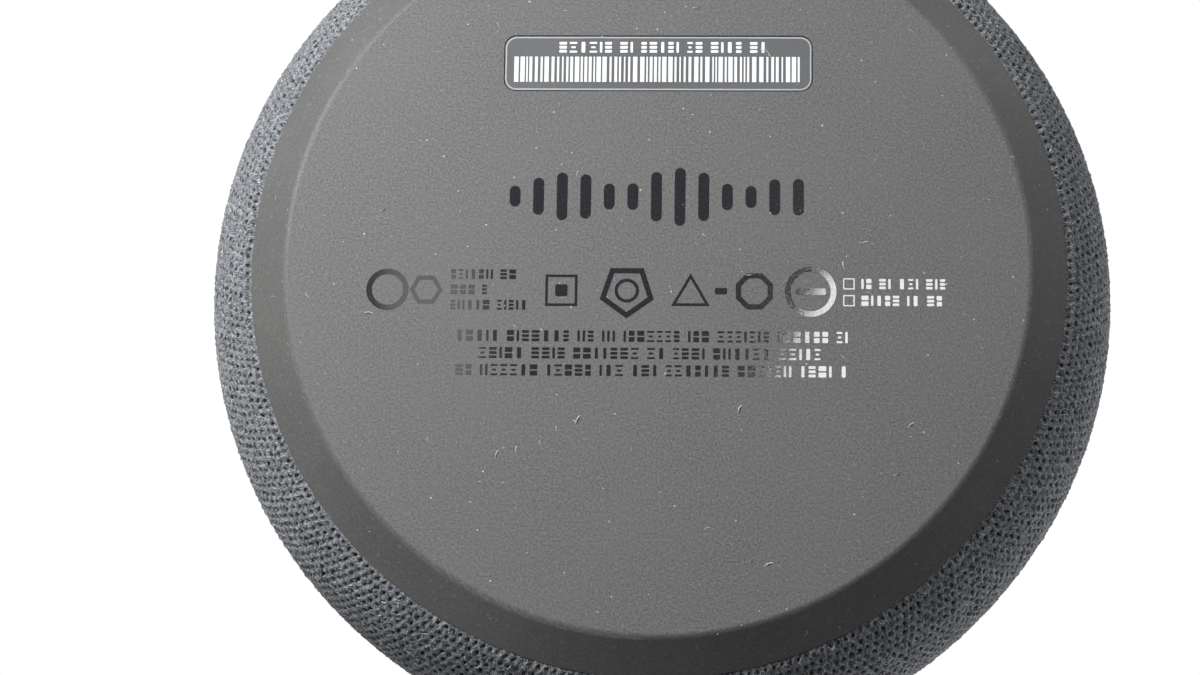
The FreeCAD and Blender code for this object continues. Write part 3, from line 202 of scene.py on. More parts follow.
def knitted_yarn():
    """Blue-grey melange yarn, warp-knitted with small holes. The UV map counts stitches and rows."""
    # Pale crowns and darker grooves on the plies (a painted highlight and painted shade), pinholes in
    # staggered rows painted near black for the black grille behind them with painted shade, and a soft downy
    # edge to it all.
    made, tree, shader = new_material("warp knit, blue-grey melange yarn")
    weave = add(tree, "ShaderNodeUVMap", uv_map="weave")
    place = add(tree, "ShaderNodeTexCoord", out="Object")
    along = add(tree, "ShaderNodeSeparateXYZ", {0: weave}, out=None)
    drift = add(tree, NOISE, {"Vector": weave, "Scale": 0.9, "Detail": 2.0})
    shake = add(tree, MATH, {0: drift, 1: 0.5, 2: -0.25}, operation="MULTIPLY_ADD")
    across = add(tree, MATH, {0: along["X"], 1: shake}, operation="ADD")

    # Every other row is half a stitch on, and each hole sits a little off its own middle.
    row = add(tree, MATH, {0: along["Y"]}, operation="FLOOR")
    odd = add(tree, MATH, {0: row, 1: 2.0}, operation="MODULO")
    staggered = add(tree, MATH, {0: odd, 1: 0.5, 2: across}, operation="MULTIPLY_ADD")
    spot = add(tree, "ShaderNodeCombineXYZ", {0: staggered, 1: along["Y"]})
    stitch = add(tree, VECTOR, {0: spot}, operation="FLOOR")
    chance = add(tree, "ShaderNodeTexWhiteNoise", {"Vector": stitch}, out=None)
    inside = add(tree, VECTOR, {0: spot}, operation="FRACTION")
    moved = add(tree, VECTOR, {0: chance["Color"], 1: (0.2, 0.24, 0.0), 2: inside}, operation="MULTIPLY_ADD")
    from_hole = add(tree, VECTOR, {0: moved, 1: (0.6, 0.62, 0.0)}, operation="SUBTRACT")
    in_radii = add(tree, VECTOR, {0: from_hole, 1: (0.24, 0.22, 1.0)}, operation="DIVIDE")
    square = add(tree, VECTOR, {0: in_radii, 1: in_radii}, out="Value", operation="DOT_PRODUCT")
    # Each hole's mask sinks the bump. The colour below paints it near black: the black grille seen through
    # the hole, plus painted shade inside it.
    rim = {"Value": square, "From Min": 0.3, "From Max": 1.5, "To Min": 1.0, "To Max": 0.0}
    hole_and_shade = add(tree, RANGE, rim, interpolation_type="SMOOTHSTEP")
    hole_depth_and_shade = add(tree, RANGE, {"Value": chance["Value"], "From Max": 0.8, "To Min": 0.4, "To Max": 0.95})
    hole_and_shade = add(tree, MATH, {0: hole_and_shade, 1: hole_depth_and_shade}, operation="MULTIPLY")

    # Three plies to a stitch sway from side to side, and short strokes of single fibres lie across them.
    # A stitch is 1 mm wide, and its fibres are finer than can be seen, so a stroke is about 0.25 mm wide.
    turn = add(tree, MATH, {0: along["Y"], 1: math.pi}, operation="MULTIPLY")
    sway = add(tree, MATH, {0: turn}, operation="SINE")
    sway = add(tree, MATH, {0: sway, 1: 0.28, 2: across}, operation="MULTIPLY_ADD")
    leaning = add(tree, MATH, {0: shake, 1: 2.2, 2: sway}, operation="MULTIPLY_ADD")
    phase = add(tree, MATH, {0: leaning, 1: 2 * math.pi * 3}, operation="MULTIPLY")
    wave = add(tree, MATH, {0: phase}, operation="SINE")
    ply_relief_and_highlight = add(tree, RANGE, {"Value": wave, "From Min": -1.0, "From Max": 1.0})
    drawn = add(tree, VECTOR, {0: weave, 1: (4.6, 2.8, 1.0)}, operation="MULTIPLY")
    fibres = add(tree, NOISE, {"Vector": drawn, "Scale": 1.0, "Detail": 3.0, "Distortion": 1.2})
    within = {"Value": fibres, "From Min": 0.38, "From Max": 0.62}
    stroke = add(tree, RANGE, within, interpolation_type="SMOOTHSTEP")

    # The melange: pale and dark stretches of yarn, each with its own fuzz.
    melange = add(tree, NOISE, {"Vector": weave, "Scale": 1.7, "Detail": 3.0})
    melange = add(tree, RANGE, {"Value": melange, "From Min": 0.32, "From Max": 0.68, "To Min": 0.35})
    fuzz = add(tree, NOISE, {"Vector": place, "Scale": grain(0.12), "Detail": 2.0})
    fuzz = add(tree, RANGE, {"Value": fuzz, "From Min": 0.25, "From Max": 0.75, "To Min": 0.7, "To Max": 1.3})
    strokes = add(tree, MATH, {0: stroke, 1: 0.7}, operation="MULTIPLY")
    # The ply wave lightens each ply's crown and darkens the groove between plies: painted highlight and
    # painted shade, on the same wave as the bump.
    light = add(tree, MATH, {0: ply_relief_and_highlight, 1: 0.3, 2: strokes}, operation="MULTIPLY_ADD")
    light = add(tree, MATH, {0: light, 1: melange}, operation="MULTIPLY")
    light = add(tree, MATH, {0: light, 1: fuzz}, operation="MULTIPLY")
    yarn = add(tree, MIX, {0: light, 6: linear("393b3f"), 7: linear("bfc3c7")}, **COLOURS)
    cool = add(tree, RANGE, {"Value": drift, "From Min": 0.3, "From Max": 0.7})
    tint = add(tree, MIX, {0: cool, 6: linear("ffffff"), 7: linear("f0f4fb")}, **COLOURS)
    yarn = add(tree, MIX, {0: 1.0, 6: yarn, 7: tint}, blend_type="MULTIPLY", **COLOURS)

    strokes = add(tree, MATH, {0: stroke, 1: 0.6}, operation="MULTIPLY")
    relief = add(tree, MATH, {0: ply_relief_and_highlight, 1: 0.4, 2: strokes}, operation="MULTIPLY_ADD")
    relief = add(tree, MATH, {0: hole_and_shade, 1: -1.5, 2: relief}, operation="MULTIPLY_ADD")
    wire(tree, shader, {
        # Holes painted near black: the black grille behind them, darkened further by painted shade.
        "Base Color": add(tree, MIX, {0: hole_and_shade, 6: yarn, 7: linear("0c0d10")}, **COLOURS),
        "Roughness": 0.85,
        "Specular IOR Level": 0.2,
        "Sheen Weight": 0.25,
        "Sheen Roughness": 0.5,
        "Normal": add(tree, BUMP, {"Height": relief, "Distance": 0.12 * MM, "Strength": 0.8}),
    })
    return made


def loose_yarn():
    """The same yarn in loose plies, each with a shade of its own."""
    # Dull and downy, from nearly black to pale, so the knit looks like a melange and not a print.
    made, tree, shader = new_material("loose plies, blue-grey melange yarn")
    shade = add(tree, "ShaderNodeAttribute", out="Fac", attribute_name="shade")
    place = add(tree, "ShaderNodeTexCoord", out="Object")
    fuzz = add(tree, NOISE, {"Vector": place, "Scale": grain(0.15), "Detail": 2.0})
    tones = {"Value": fuzz, "From Min": 0.25, "From Max": 0.75, "To Min": 0.7, "To Max": 1.25}
    light = add(tree, MATH, {0: shade, 1: add(tree, RANGE, tones)}, operation="MULTIPLY")
    wire(tree, shader, {
        "Base Color": add(tree, MIX, {0: light, 6: linear("46494d"), 7: linear("bdc1c5")}, **COLOURS),
        "Roughness": 0.85,
        "Specular IOR Level": 0.2,
        "Sheen Weight": 0.2,
    })
    return made


def printing_ink():
    """Pad-printed black ink, slightly worn through to the rubber's grain."""
    # Much glossier than the rubber, so it mirrors the room: black, but pale where it shows a lamp.
    made, tree, shader = new_material("pad-printed glossy ink")
    place = add(tree, "ShaderNodeTexCoord", out="Object")
    leather = add(tree, NOISE, {"Vector": place, "Scale": grain(0.22), "Detail": 4.0})
    wear = add(tree, NOISE, {"Vector": place, "Scale": grain(0.35), "Detail": 5.0})
    worn = add(tree, RANGE, {"Value": wear, "From Min": 0.66, "From Max": 0.74})
    ridges = add(tree, RANGE, {"Value": leather, "From Min": 0.3, "From Max": 0.7})
    black = add(tree, MIX, {0: ridges, 6: linear("26272b"), 7: linear("303136")}, **COLOURS)
    gloss = {"Value": leather, "From Min": 0.3, "From Max": 0.7, "To Min": 0.03, "To Max": 0.08}
    wire(tree, shader, {
        "Base Color": add(tree, MIX, {0: worn, 6: black, 7: linear("5a5a5c")}, **COLOURS),
        "Roughness": add(tree, RANGE, gloss),
        "Specular IOR Level": 0.8,
        "Normal": add(tree, BUMP, {"Height": leather, "Distance": 0.001 * MM, "Strength": 0.25}),
    })
    return made


def light_diffuser():
    """The light ring's smoky polycarbonate."""
    # A milky skin over a darker inside, with a soft shine along its rounded edge.
    made, tree, shader = new_material("light ring, smoky diffuser")
    place = add(tree, "ShaderNodeTexCoord", out="Object")
    haze = add(tree, NOISE, {"Vector": place, "Scale": grain(0.6), "Detail": 3.0})
    broad = add(tree, NOISE, {"Vector": place, "Scale": grain(12.0), "Detail": 2.0})
    smoke = add(tree, RANGE, {"Value": broad, "From Min": 0.3, "From Max": 0.7})
    gloss = {"Value": haze, "From Min": 0.3, "From Max": 0.7, "To Min": 0.22, "To Max": 0.34}
    wire(tree, shader, {
        "Base Color": add(tree, MIX, {0: smoke, 6: linear("2c3036"), 7: linear("383d45")}, **COLOURS),
        "Roughness": add(tree, RANGE, gloss),
        "Subsurface Weight": 0.3,
        "Subsurface Radius": (0.002, 0.002, 0.003),
        "Coat Weight": 0.3,
        "Normal": add(tree, BUMP, {"Height": haze, "Distance": 0.004 * MM, "Strength": 0.5}),
    })
    return made


# The plain finishes of the record's slots. Each has its name, colour, roughness, IOR, the width and height of
# its grain in millimetres, and then, if they aren't the usual ones, how far its colour drifts, whether it is
# metal and how its grain is drawn out. A grain is drawn no finer than about 0.1 mm, so that it can be seen.
FINISHES = {
    # Yellowish and slightly cloudy, with the soft shine of something tacky.
    "adhesive": ("adhesive film, tacky acrylic", "b9b3a4", 0.6, 1.47, 0.4, 0.03),
    # Spark erosion in the mould leaves an even sandy grain, so the black looks dull and deep.
    "case_plastic": ("case plastic, spark-eroded", "232325", 0.55, 1.54, 0.25, 0.03),
    # Left as moulded, because the knit covers it: black with a faint shine.
    "grille_plastic": ("grille plastic, plain black", "17181a", 0.5, 1.54, 0.3, 0.02),
    # A fine matt texture that hides finger marks, a shade paler than the rubber below it.
    "bezel_plastic": ("bezel plastic, fine matt texture", "2a2b2d", 0.5, 1.54, 0.2, 0.03),
    # Silky: broad soft highlights over an even charcoal.
    "cover_plastic": ("cover plastic, silky matt", "2e3033", 0.46, 1.58, 0.16, 0.018, 0.12),
    # The cover's own plastic, polished a little by fingers.
    "button_plastic": ("button plastic, silky matt", "303235", 0.4, 1.58, 0.16, 0.015, 0.12),
    # Glass fibres near the surface give a black with a slight uneven sheen.
    "jack_plastic": ("socket plastic, glass filled", "141516", 0.42, 1.55, 0.2, 0.02),
    # Bright and warm, with sharp reflections.
    "nickel": ("nickel plate", "c9c4b8", 0.22, 1.5, 0.3, 0.006, 0.1, 1.0),
    # Rolled steel, with faint lines along the sheet.
    "switch_steel": ("switch cover, stamped steel", "aeb0ad", 0.35, 1.5, 0.3, 0.01, 0.15, 1.0, (1, 6, 1)),
    # Green lacquer over woven glass: glossy, and darker where copper is missing under it.
    "board_laminate": ("board, green solder mask", "1c4a2c", 0.32, 1.53, 0.5, 0.012),
    # Bright tin with soft drawn lines.
    "can_steel": ("shield, tin-plated sheet", "b9bab6", 0.36, 1.5, 0.5, 0.01, 0.12, 1.0, (1, 5, 1)),
    # Moulded epoxy: a dull even black.
    "chip_resin": ("chip resin, matt black", "1f2022", 0.5, 1.55, 0.15, 0.01),
    # A dark metal sheen with a patchy tone from the plating.
    "screw_steel": ("screw, black zinc", "4b4b4e", 0.38, 1.5, 0.2, 0.01, 0.2, 1.0),
    # Blasting breaks the metal's shine into a pale satin.
    "spreader_alloy": ("heat spreader, blasted die casting", "a6a8aa", 0.5, 1.5, 0.25, 0.03, 0.15, 1.0),
    # Soft and chalky, with no highlight to speak of.
    "thermal_rubber": ("thermal pad, silicone", "7782a0", 0.7, 1.41, 0.3, 0.03),
    # Left as moulded: black with faint flow marks.
    "box_plastic": ("speaker box, plain black plastic", "252628", 0.48, 1.54, 0.4, 0.02),
    # Tiny closed bubbles swallow the light.
    "seal_foam": ("sealing foam, closed cell", "1c1c1d", 0.8, 1.49, 0.2, 0.06),
    # Baked enamel: smooth, glossy at its edges and slightly wavy.
    "basket_steel": ("driver basket, black enamel", "262628", 0.35, 1.5, 0.4, 0.015),
    # A ground ceramic: dark grey, dull and speckled.
    "magnet_ferrite": ("magnet, ground ferrite", "44464a", 0.6, 1.9, 0.12, 0.02, 0.3),
    # A warm metal sheen with fine turning lines.
    "zinc_steel": ("pole plate, clear zinc", "b5b1a0", 0.32, 1.5, 0.4, 0.008, 0.2, 1.0, (1, 4, 1)),
    # Felted fibres: dry, dull and slightly hairy.
    "cone_paper": ("cone paper, pressed fibre", "2b2b2c", 0.8, 1.5, 0.25, 0.05),
    # A smooth satin black against the paper.
    "cap_plastic": ("dust cap, satin", "27282a", 0.4, 1.59, 0.2, 0.01),
    # Thin rolled metal with crisp lines along the tube.
    "former_foil": ("coil former, thin foil", "c8cacc", 0.28, 1.5, 0.4, 0.006, 0.1, 1.0, (1, 1, 5)),
    # Fine turns of wire side by side give a warm red-brown shine in rings.
    "copper_wire": ("voice coil, enamelled copper", "b3663a", 0.3, 1.5, 0.08, 0.03, 0.25, 1.0, (0.2, 0.2, 4)),
    # Soft and black, with a low wide highlight over its roll.
    "surround_rubber": ("surround, butyl rubber", "1d1d1e", 0.55, 1.53, 0.3, 0.02),
    # Resin-dipped cloth: straw-coloured, stiff and coarse.
    "spider_cloth": ("spider, dipped cotton", "b08a4a", 0.85, 1.53, 0.18, 0.06),
    # Brown board pressed from paper and resin.
    "terminal_board": ("terminal strip, phenolic", "6a4326", 0.5, 1.6, 0.3, 0.02),
    # A smooth supple jacket with a soft shine.
    "lead_jacket": ("speaker lead, red and soft", "8a1f1b", 0.45, 1.44, 0.5, 0.01),
    # Dull black with a faint bloom.
    "grommet_rubber": ("grommet, rubber", "202021", 0.6, 1.52, 0.3, 0.02),
    # A glossy amber film over copper tracks.
    "ribbon_film": ("ribbon cable, amber film", "b9792c", 0.25, 1.7, 0.6, 0.01),
    # Pale and slightly waxy.
    "connector_plastic": ("connector, ivory nylon", "cfc8b6", 0.45, 1.53, 0.3, 0.01),
    # Clear resin over a white cup: nearly white and glossy.
    "light_package": ("light, clear resin over white", "e4e2d8", 0.2, 1.53, 0.3, 0.005),
    # A thin wash of gold: bright, yellow and a little uneven.
    "microphone_can": ("microphone, gold flash", "c3a45c", 0.3, 1.5, 0.3, 0.006, 0.15, 1.0),
    # Soft and dull, and it picks up dust.
    "gasket_rubber": ("microphone gasket, silicone", "242425", 0.6, 1.41, 0.3, 0.02),
    # Printed polyester: a smooth grey with a faint orange peel.
    "label_film": ("label film, satin", "56585b", 0.34, 1.57, 0.35, 0.01, 0.1),
}

# Finishes of what isn't a slot of its own, in the same order.

# Screen-printed white, slightly chalky.
PALE_INK = ("pale ink, satin", "e8ebee", 0.4, 1.5, 0.2, 0.004, 0.05)
# Light grey paint that reads clearly on charcoal without glare.
ICON_PAINT = ("icon paint, light grey", "b9bcc0", 0.45, 1.5, 0.2, 0.004, 0.05)
# A thin pale line along the label's edge: a painted highlight where the film's edge catches the light.
LABEL_EDGE_HIGHLIGHT = ("label edge, painted highlight", "a6abb0", 0.4, 1.5, 0.2, 0.004, 0.05)
# Skin and paper dust: dry, warm and pale.
DUST = ("dust, pale crumbs", "cfcac0", 0.8, 1.5, 0.1, 0.01)
# Cotton fluff: a little brighter where it curls.
LINT = ("lint, pale fibres", "c9c6be", 0.7, 1.5, 0.1, 0.01)
# Single fibres that have worked loose: the yarn's own middle tone.
FIBRES = ("yarn fibres, blue-grey", "898e94", 0.75, 1.5, 0.1, 0.01)


def clothe_frame():
    """Gives every carried-over CAD node its finish."""
    made = {slot: finish(*given) for slot, given in FINISHES.items()}
    made["foot_rubber"] = foot_rubber()
    made["light_diffuser"] = light_diffuser()
    made["knit"] = knitted_yarn()
    for entry in frame["record"]["subparts"]:
        node = frame["nodes"][entry["node"]]
        node.data.materials.clear()
        node.data.materials.append(made[entry["material_slot"]])
    return made


# Meshes and pieces


def plain_mesh(name, points, faces):
    """A mesh from points in metres."""
    data = bpy.data.meshes.new(name)
    data.from_pydata(points, [], faces)
    return data


def riding(name, data, body=CASE):
    """Makes a finished mesh a piece that rides on a body."""
    piece = bpy.data.objects.new(name, data)
    bpy.context.collection.objects.link(piece)
    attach(piece, body)
    return piece


def turned_mesh(name, outline, sides=96):
    """A plain surface of revolution, from radius and height in millimetres."""
    angles = 2 * np.pi * np.arange(sides) / sides
    points = [(r * math.cos(a) * MM, r * math.sin(a) * MM, z * MM) for r, z in outline for a in angles]
    faces = []
    for low in range(0, (len(outline) - 1) * sides, sides):
        for side in range(sides):
            after = (side + 1) % sides
            faces.append((low + side, low + sides + side, low + sides + after, low + after))
    return plain_mesh(name, points, faces)


# The knitted sleeve


def side_profile(count):
    """Points evenly spaced up the side: their radius and height, and the tilt of the outward normal."""
    low = math.asin((LOWER_CENTRE[1] - SLEEVE_LOW) / LOWER_ARC)
    high = math.asin((SLEEVE_HIGH - UPPER_CENTRE[1]) / UPPER_ARC)
    upright = UPPER_CENTRE[1] - LOWER_CENTRE[1]
    lengths = (LOWER_ARC * low, upright, UPPER_ARC * high)
    along = np.linspace(0, sum(lengths), count)
    low_angle = np.clip(along / LOWER_ARC - low, -low, 0)
    high_angle = np.clip((along - lengths[0] - upright) / UPPER_ARC, 0, high)
    spans = [along < lengths[0], along > lengths[0] + upright]
    radius = np.select(spans, [
        LOWER_CENTRE[0] + LOWER_ARC * np.cos(low_angle),
        UPPER_CENTRE[0] + UPPER_ARC * np.cos(high_angle),
    ], BODY_RADIUS)
    height = np.select(spans, [
        LOWER_CENTRE[1] + LOWER_ARC * np.sin(low_angle),
        UPPER_CENTRE[1] + UPPER_ARC * np.sin(high_angle),
    ], LOWER_CENTRE[1] + along - lengths[0])
    return radius, height, np.select(spans, [low_angle, high_angle], 0.0)


def port_distance(x, z):
    """How far a point is outside the cut-out for the sockets, negative inside it."""
    past_side = np.abs(x) - (PORT_HALF - PORT_CORNER)
    past_top = z - (PORT_TOP - PORT_CORNER)
    outside = np.hypot(np.maximum(past_side, 0), np.maximum(past_top, 0))
    return outside + np.minimum(np.maximum(past_side, past_top), 0) - PORT_CORNER


def stitch_depth(u, v):
    """How far the knit sinks under the plain side, in millimetres, at places counted in stitches and rows."""
    rng = np.random.default_rng(SEED)
    stagger = 0.5 * (np.floor(v) % 2)
    stitch = np.floor(u + stagger).astype(int) % STITCHES
    course = np.minimum(np.floor(v).astype(int), ROWS - 1)
    each = (ROWS, STITCHES)
    du = (u + stagger) % 1.0 - 0.5 + rng.normal(0, 0.05, each)[course, stitch]
    dv = v % 1.0 - 0.5 + rng.normal(0, 0.06, each)[course, stitch]
    dimple = rng.uniform(0.2, 0.44, each)[course, stitch] * np.exp(-((du / 0.24) ** 2 + (dv / 0.25) ** 2))
    plies = 0.05 * (1 + np.cos(2 * np.pi * 3 * (u + 0.28 * np.sin(np.pi * v))))
    uneven = rng.normal(0, 0.03, (u.shape[0], u.shape[1] - 1))
    uneven = np.concatenate([uneven, uneven[:, :1]], axis=1)
    from_edge = np.minimum(np.arange(len(u)), np.arange(len(u))[::-1])
    rolled = 0.25 * np.exp(-((from_edge / 1.2) ** 2))[:, None]
    return dimple - 0.12 - plies + uneven + rolled


def smooth_normals(points):
    """Normals of a grid of points that closes on itself along its rows."""
    seam = points[:, 1:2] - points[:, -2:-1]
    step_u = np.concatenate([seam, points[:, 2:] - points[:, :-2], seam], axis=1)
    normals = np.cross(step_u, np.gradient(points, axis=0))
    return normals / np.maximum(np.linalg.norm(normals, axis=2, keepdims=True), 1e-12)


def knit_sleeve(material):
    """The sleeve in four quarters: every stitch is a real dimple, and all its edges turn inwards."""
    rows, columns = ROWS * STEPS + 1, STITCHES * STEPS
    u, v = np.meshgrid(np.arange(columns + 1) / STEPS, np.arange(rows) / STEPS)
    radius, height, tilt = (c[:, None] for c in side_profile(rows))
    angle = FIRST_EDGE + 2 * np.pi * u / STITCHES
    sunk = stitch_depth(u, v)
    ring = radius - sunk * np.cos(tilt)
    x, y, z = ring * np.cos(angle), ring * np.sin(angle), height - sunk * np.sin(tilt)

    # At the back, points near the cut-out are pulled onto its outline, and the edge tucks in there.
    reach, tuck_width, nudge, far = 0.19, 0.5, 0.01, 9.0
    gap = np.where(y > 0, port_distance(x, z), far)
    slope_x = port_distance(x + nudge, z) - port_distance(x - nudge, z)
    slope_z = port_distance(x, z + nudge) - port_distance(x, z - nudge)
    slope = np.maximum(np.hypot(slope_x, slope_z), 1e-9)
    near = np.abs(gap) < reach
    x = np.where(near, x - gap * slope_x / slope, x)
    z = np.where(near, z - gap * slope_z / slope, z)
    tuck = 0.45 * (1 - np.clip(gap, 0, tuck_width) / tuck_width) ** 2
    x, y = x - tuck * np.cos(angle), y - tuck * np.sin(angle)

    # One more row at the foot and one at the light ring turn the edge inwards.
    rim, rise = 0.9, 0.05
    grown = (np.pad(c, ((1, 1), (0, 0)), mode="edge") for c in (x, y, z, u, v, gap, angle))
    x, y, z, u, v, gap, angle = grown
    for row, inwards in ((0, 1), (-1, -1)):
        x[row] -= rim * np.cos(angle[row])
        y[row] -= rim * np.sin(angle[row])
        z[row] += rise * inwards
        v[row] -= inwards / STEPS

    points = np.stack([x, y, z], axis=-1) * MM
    normals = smooth_normals(points)
    count = np.stack([u, v], axis=-1)
    wide = columns // len(QUARTERS) + 1
    corner = (np.arange(rows + 1)[:, None] * wide + np.arange(wide - 1)).reshape(-1)
    grid = np.stack([corner, corner + 1, corner + wide + 1, corner + wide], axis=1)
    pieces = []
    for quarter, name in enumerate(QUARTERS):
        cut = slice(quarter * (wide - 1), quarter * (wide - 1) + wide)
        place, normal, counted = (c[:, cut].reshape(wide * (rows + 2), -1) for c in (points, normals, count))
        faces = grid[(gap[:, cut].reshape(-1)[grid] > -reach).all(axis=1)]
        used, faces = np.unique(faces, return_inverse=True)
        faces = faces.reshape(-1, 4)
        data = plain_mesh("sleeve_" + name, place[used], faces.tolist())
        data.polygons.foreach_set("use_smooth", np.ones(len(faces), bool))
        weave = data.uv_layers.new(name="weave")
        weave.data.foreach_set("uv", counted[used][faces.reshape(-1)].astype(np.float32).reshape(-1))
        data.normals_split_custom_set_from_vertices(normal[used].tolist())
        data.materials.append(material)
        pieces.append(riding("sleeve_" + name, data))
    return pieces


def loose_plies(material):
    """Thin plies that lie on the knit and run from between two holes to between the next two."""
    rng = np.random.default_rng(SEED + 3)
    fine, rings, sides = 8, 4, 3
    profile = side_profile(ROWS * fine + 1)
    along = np.arange(ROWS * fine + 1) / fine
    row, column = (np.tile(c.reshape(-1), 2) for c in np.mgrid[0:ROWS, 0:STITCHES])
    side = np.repeat((-0.5, 0.5), ROWS * STITCHES)
    kept = rng.random(len(row)) < 0.6
    row, column, side = row[kept], column[kept], side[kept]
    each = (len(row), 1)

    # The line that each ply follows, in stitches and rows, and then in space.
    t = np.linspace(0, 1, rings)
    reach = rng.uniform(0.35, 0.85, each)
    swing = side[:, None] * rng.uniform(0.2, 1.3, each)
    u = (column + 0.5 * (row % 2))[:, None] + swing * t**1.2 + rng.normal(0, 0.13, each)
    u = u + rng.normal(0, 0.05, (len(row), rings))
    v = (row + 0.4)[:, None] + rng.normal(0, 0.2, each) + t * reach
    lift = rng.uniform(0.05, 0.16, each) * np.sin(np.pi * (0.12 + 0.76 * t)) + 0.1
    radius, height, tilt = (np.interp(v, along, c) for c in profile)
    angle = FIRST_EDGE + 2 * np.pi * u / STITCHES
    out = np.stack([np.cos(tilt) * np.cos(angle), np.cos(tilt) * np.sin(angle), np.sin(tilt)], axis=-1)
    spine = np.stack([radius * np.cos(angle), radius * np.sin(angle), height], axis=-1)
    spine = spine + lift[..., None] * out

    # Three-sided tubes that thin towards their ends.
    run = np.gradient(spine, axis=1)
    run /= np.linalg.norm(run, axis=2, keepdims=True)
    across = np.cross(run, out)
    thick = rng.uniform(0.035, 0.07, each) * np.array([0.5, 1, 1, 0.5])
    turn = 2 * np.pi * np.arange(sides)[:, None] / sides
    around = np.cos(turn) * out[:, :, None] + np.sin(turn) * across[:, :, None]
    tube = (spine[:, :, None] + thick[..., None, None] * around) * MM
    shade = rng.beta(1.1, 1.3, len(row))

    clear = (v.min(axis=1) > 0.35) & (v.max(axis=1) < ROWS - 0.5)
    near_port = (spine[..., 1] > 0) & (port_distance(spine[..., 0], spine[..., 2]) < 0.5)
    clear &= ~near_port.any(axis=1)
    quarter = (u[:, 1] // (STITCHES / len(QUARTERS))).astype(int) % len(QUARTERS)
    ring, corner = np.meshgrid(np.arange(rings - 1) * sides, np.arange(sides), indexing="ij")
    after = (corner + 1) % sides
    pattern = [ring + corner, ring + after, ring + sides + after, ring + sides + corner]
    pattern = np.stack(pattern, axis=-1).reshape(-1, 4)
    corners = rings * sides
    pieces = []
    for part, name in enumerate(QUARTERS):
        mine = clear & (quarter == part)
        faces = (np.arange(mine.sum())[:, None, None] * corners + pattern).reshape(-1, 4)
        data = plain_mesh("plies_" + name, tube[mine].reshape(-1, 3).tolist(), faces.tolist())
        data.polygons.foreach_set("use_smooth", np.ones(len(faces), bool))
        shades = data.attributes.new("shade", "FLOAT", "POINT")
        shades.data.foreach_set("value", np.repeat(shade[mine], corners).astype(np.float32))
        data.materials.append(material)
        pieces.append(riding("plies_" + name, data))
    return pieces


# Prints on the foot and the icons on the top


def rounded_bar(x, y, width, height, corner):
    """The outline of a bar with round corners, about its middle."""
    corner = min(corner, width / 2, height / 2)
    steps, points = 5, []
    for turn, (side_x, side_y) in enumerate(((1, 1), (-1, 1), (-1, -1), (1, -1))):
        centre_x = x + side_x * (width / 2 - corner)
        centre_y = y + side_y * (height / 2 - corner)
        for step in range(steps + 1):
            angle = math.pi / 2 * (turn + step / steps)
            points.append((centre_x + corner * math.cos(angle), centre_y + corner * math.sin(angle)))
    return points


def polygon(x, y, radius, sides, turn=0.0):
    """The corners of a regular polygon."""
    angles = [turn + 2 * math.pi * k / sides for k in range(sides)]
    return [(x + radius * math.cos(a), y + radius * math.sin(a)) for a in angles]


class Print:
    """Flat printed shapes on one level, gathered into one mesh. Everything is in millimetres."""

    def __init__(self, level, thickness):
        self.levels = (level, level + thickness)
        self.points, self.faces = [], []

    def shape(self, loops):
        """A shape between two loops of the same length, or inside one loop."""
        start, count = len(self.points), len(loops[0])
        self.points += [(x, y, level) for level in self.levels for loop in loops for x, y in loop]
        half = count * len(loops)
        pairs = [(k, (k + 1) % count) for k in range(count)]
        for base in (start, start + half):
            if len(loops) == 1:
                self.faces.append([base + k for k in range(count)])
            else:
                self.faces += [[base + k, base + j, base + count + j, base + count + k] for k, j in pairs]
        for low in range(start, start + half, count):
            self.faces += [[low + k, low + j, low + half + j, low + half + k] for k, j in pairs]

    def bar(self, x, y, width, height, corner=0.2):
        """A bar with round corners."""
        self.shape([rounded_bar(x, y, width, height, corner)])

    def outline(self, x, y, radius, sides, line, turn=0.0):
        """A regular polygon drawn as a line."""
        self.shape([polygon(x, y, radius, sides, turn), polygon(x, y, radius - line, sides, turn)])

    def blocks(self, left, y, right, cap, seed):
        """A row of small bars, dashes and squares in groups, running towards -X. cap is their height."""
        rng = np.random.default_rng(seed)
        at, length = 0.0, abs(right - left)
        while at < length - cap * 0.4:
            for _ in range(int(rng.integers(2, 8))):
                width = cap * float(rng.choice([0.22, 0.5, 0.62, 0.68]))
                if at + width > length:
                    break
                self.block(left - at - width / 2, y, width, cap, int(rng.integers(0, 4)))
                at += width + cap * 0.24
            at += cap * 0.5

    def block(self, x, y, width, cap, kind):
        """One upright bar, one stack of up to three bars, or three dashes of uneven width."""
        corner, gap = cap * 0.08, cap * 0.12
        if width < cap * 0.3:
            self.bar(x, y, width, cap, corner)
        elif kind == 3:
            for shift, share in ((0.41, 1.0), (-0.41, 1.0), (0.0, 0.6)):
                self.bar(x, y + cap * shift, width * share, cap * 0.18, cap * 0.06)
        else:
            stacks = kind + 1
            tall = (cap + gap) / stacks - gap
            for k in range(stacks):
                level = y + cap / 2 - tall / 2 - k * (tall + gap)
                self.bar(x, level, width if kind else width * 0.55, tall, corner)

    def piece(self, name, material, slot, body=CASE):
        """The mesh of all the shapes so far, as a piece."""
        data = plain_mesh(name, [tuple(c * MM for c in p) for p in self.points], self.faces)
        data.materials.append(material)
        tidy = bmesh.new()
        tidy.from_mesh(data)
        bmesh.ops.recalc_face_normals(tidy, faces=tidy.faces)
        tidy.to_mesh(data)
        tidy.free()
        return riding(name, data, body)


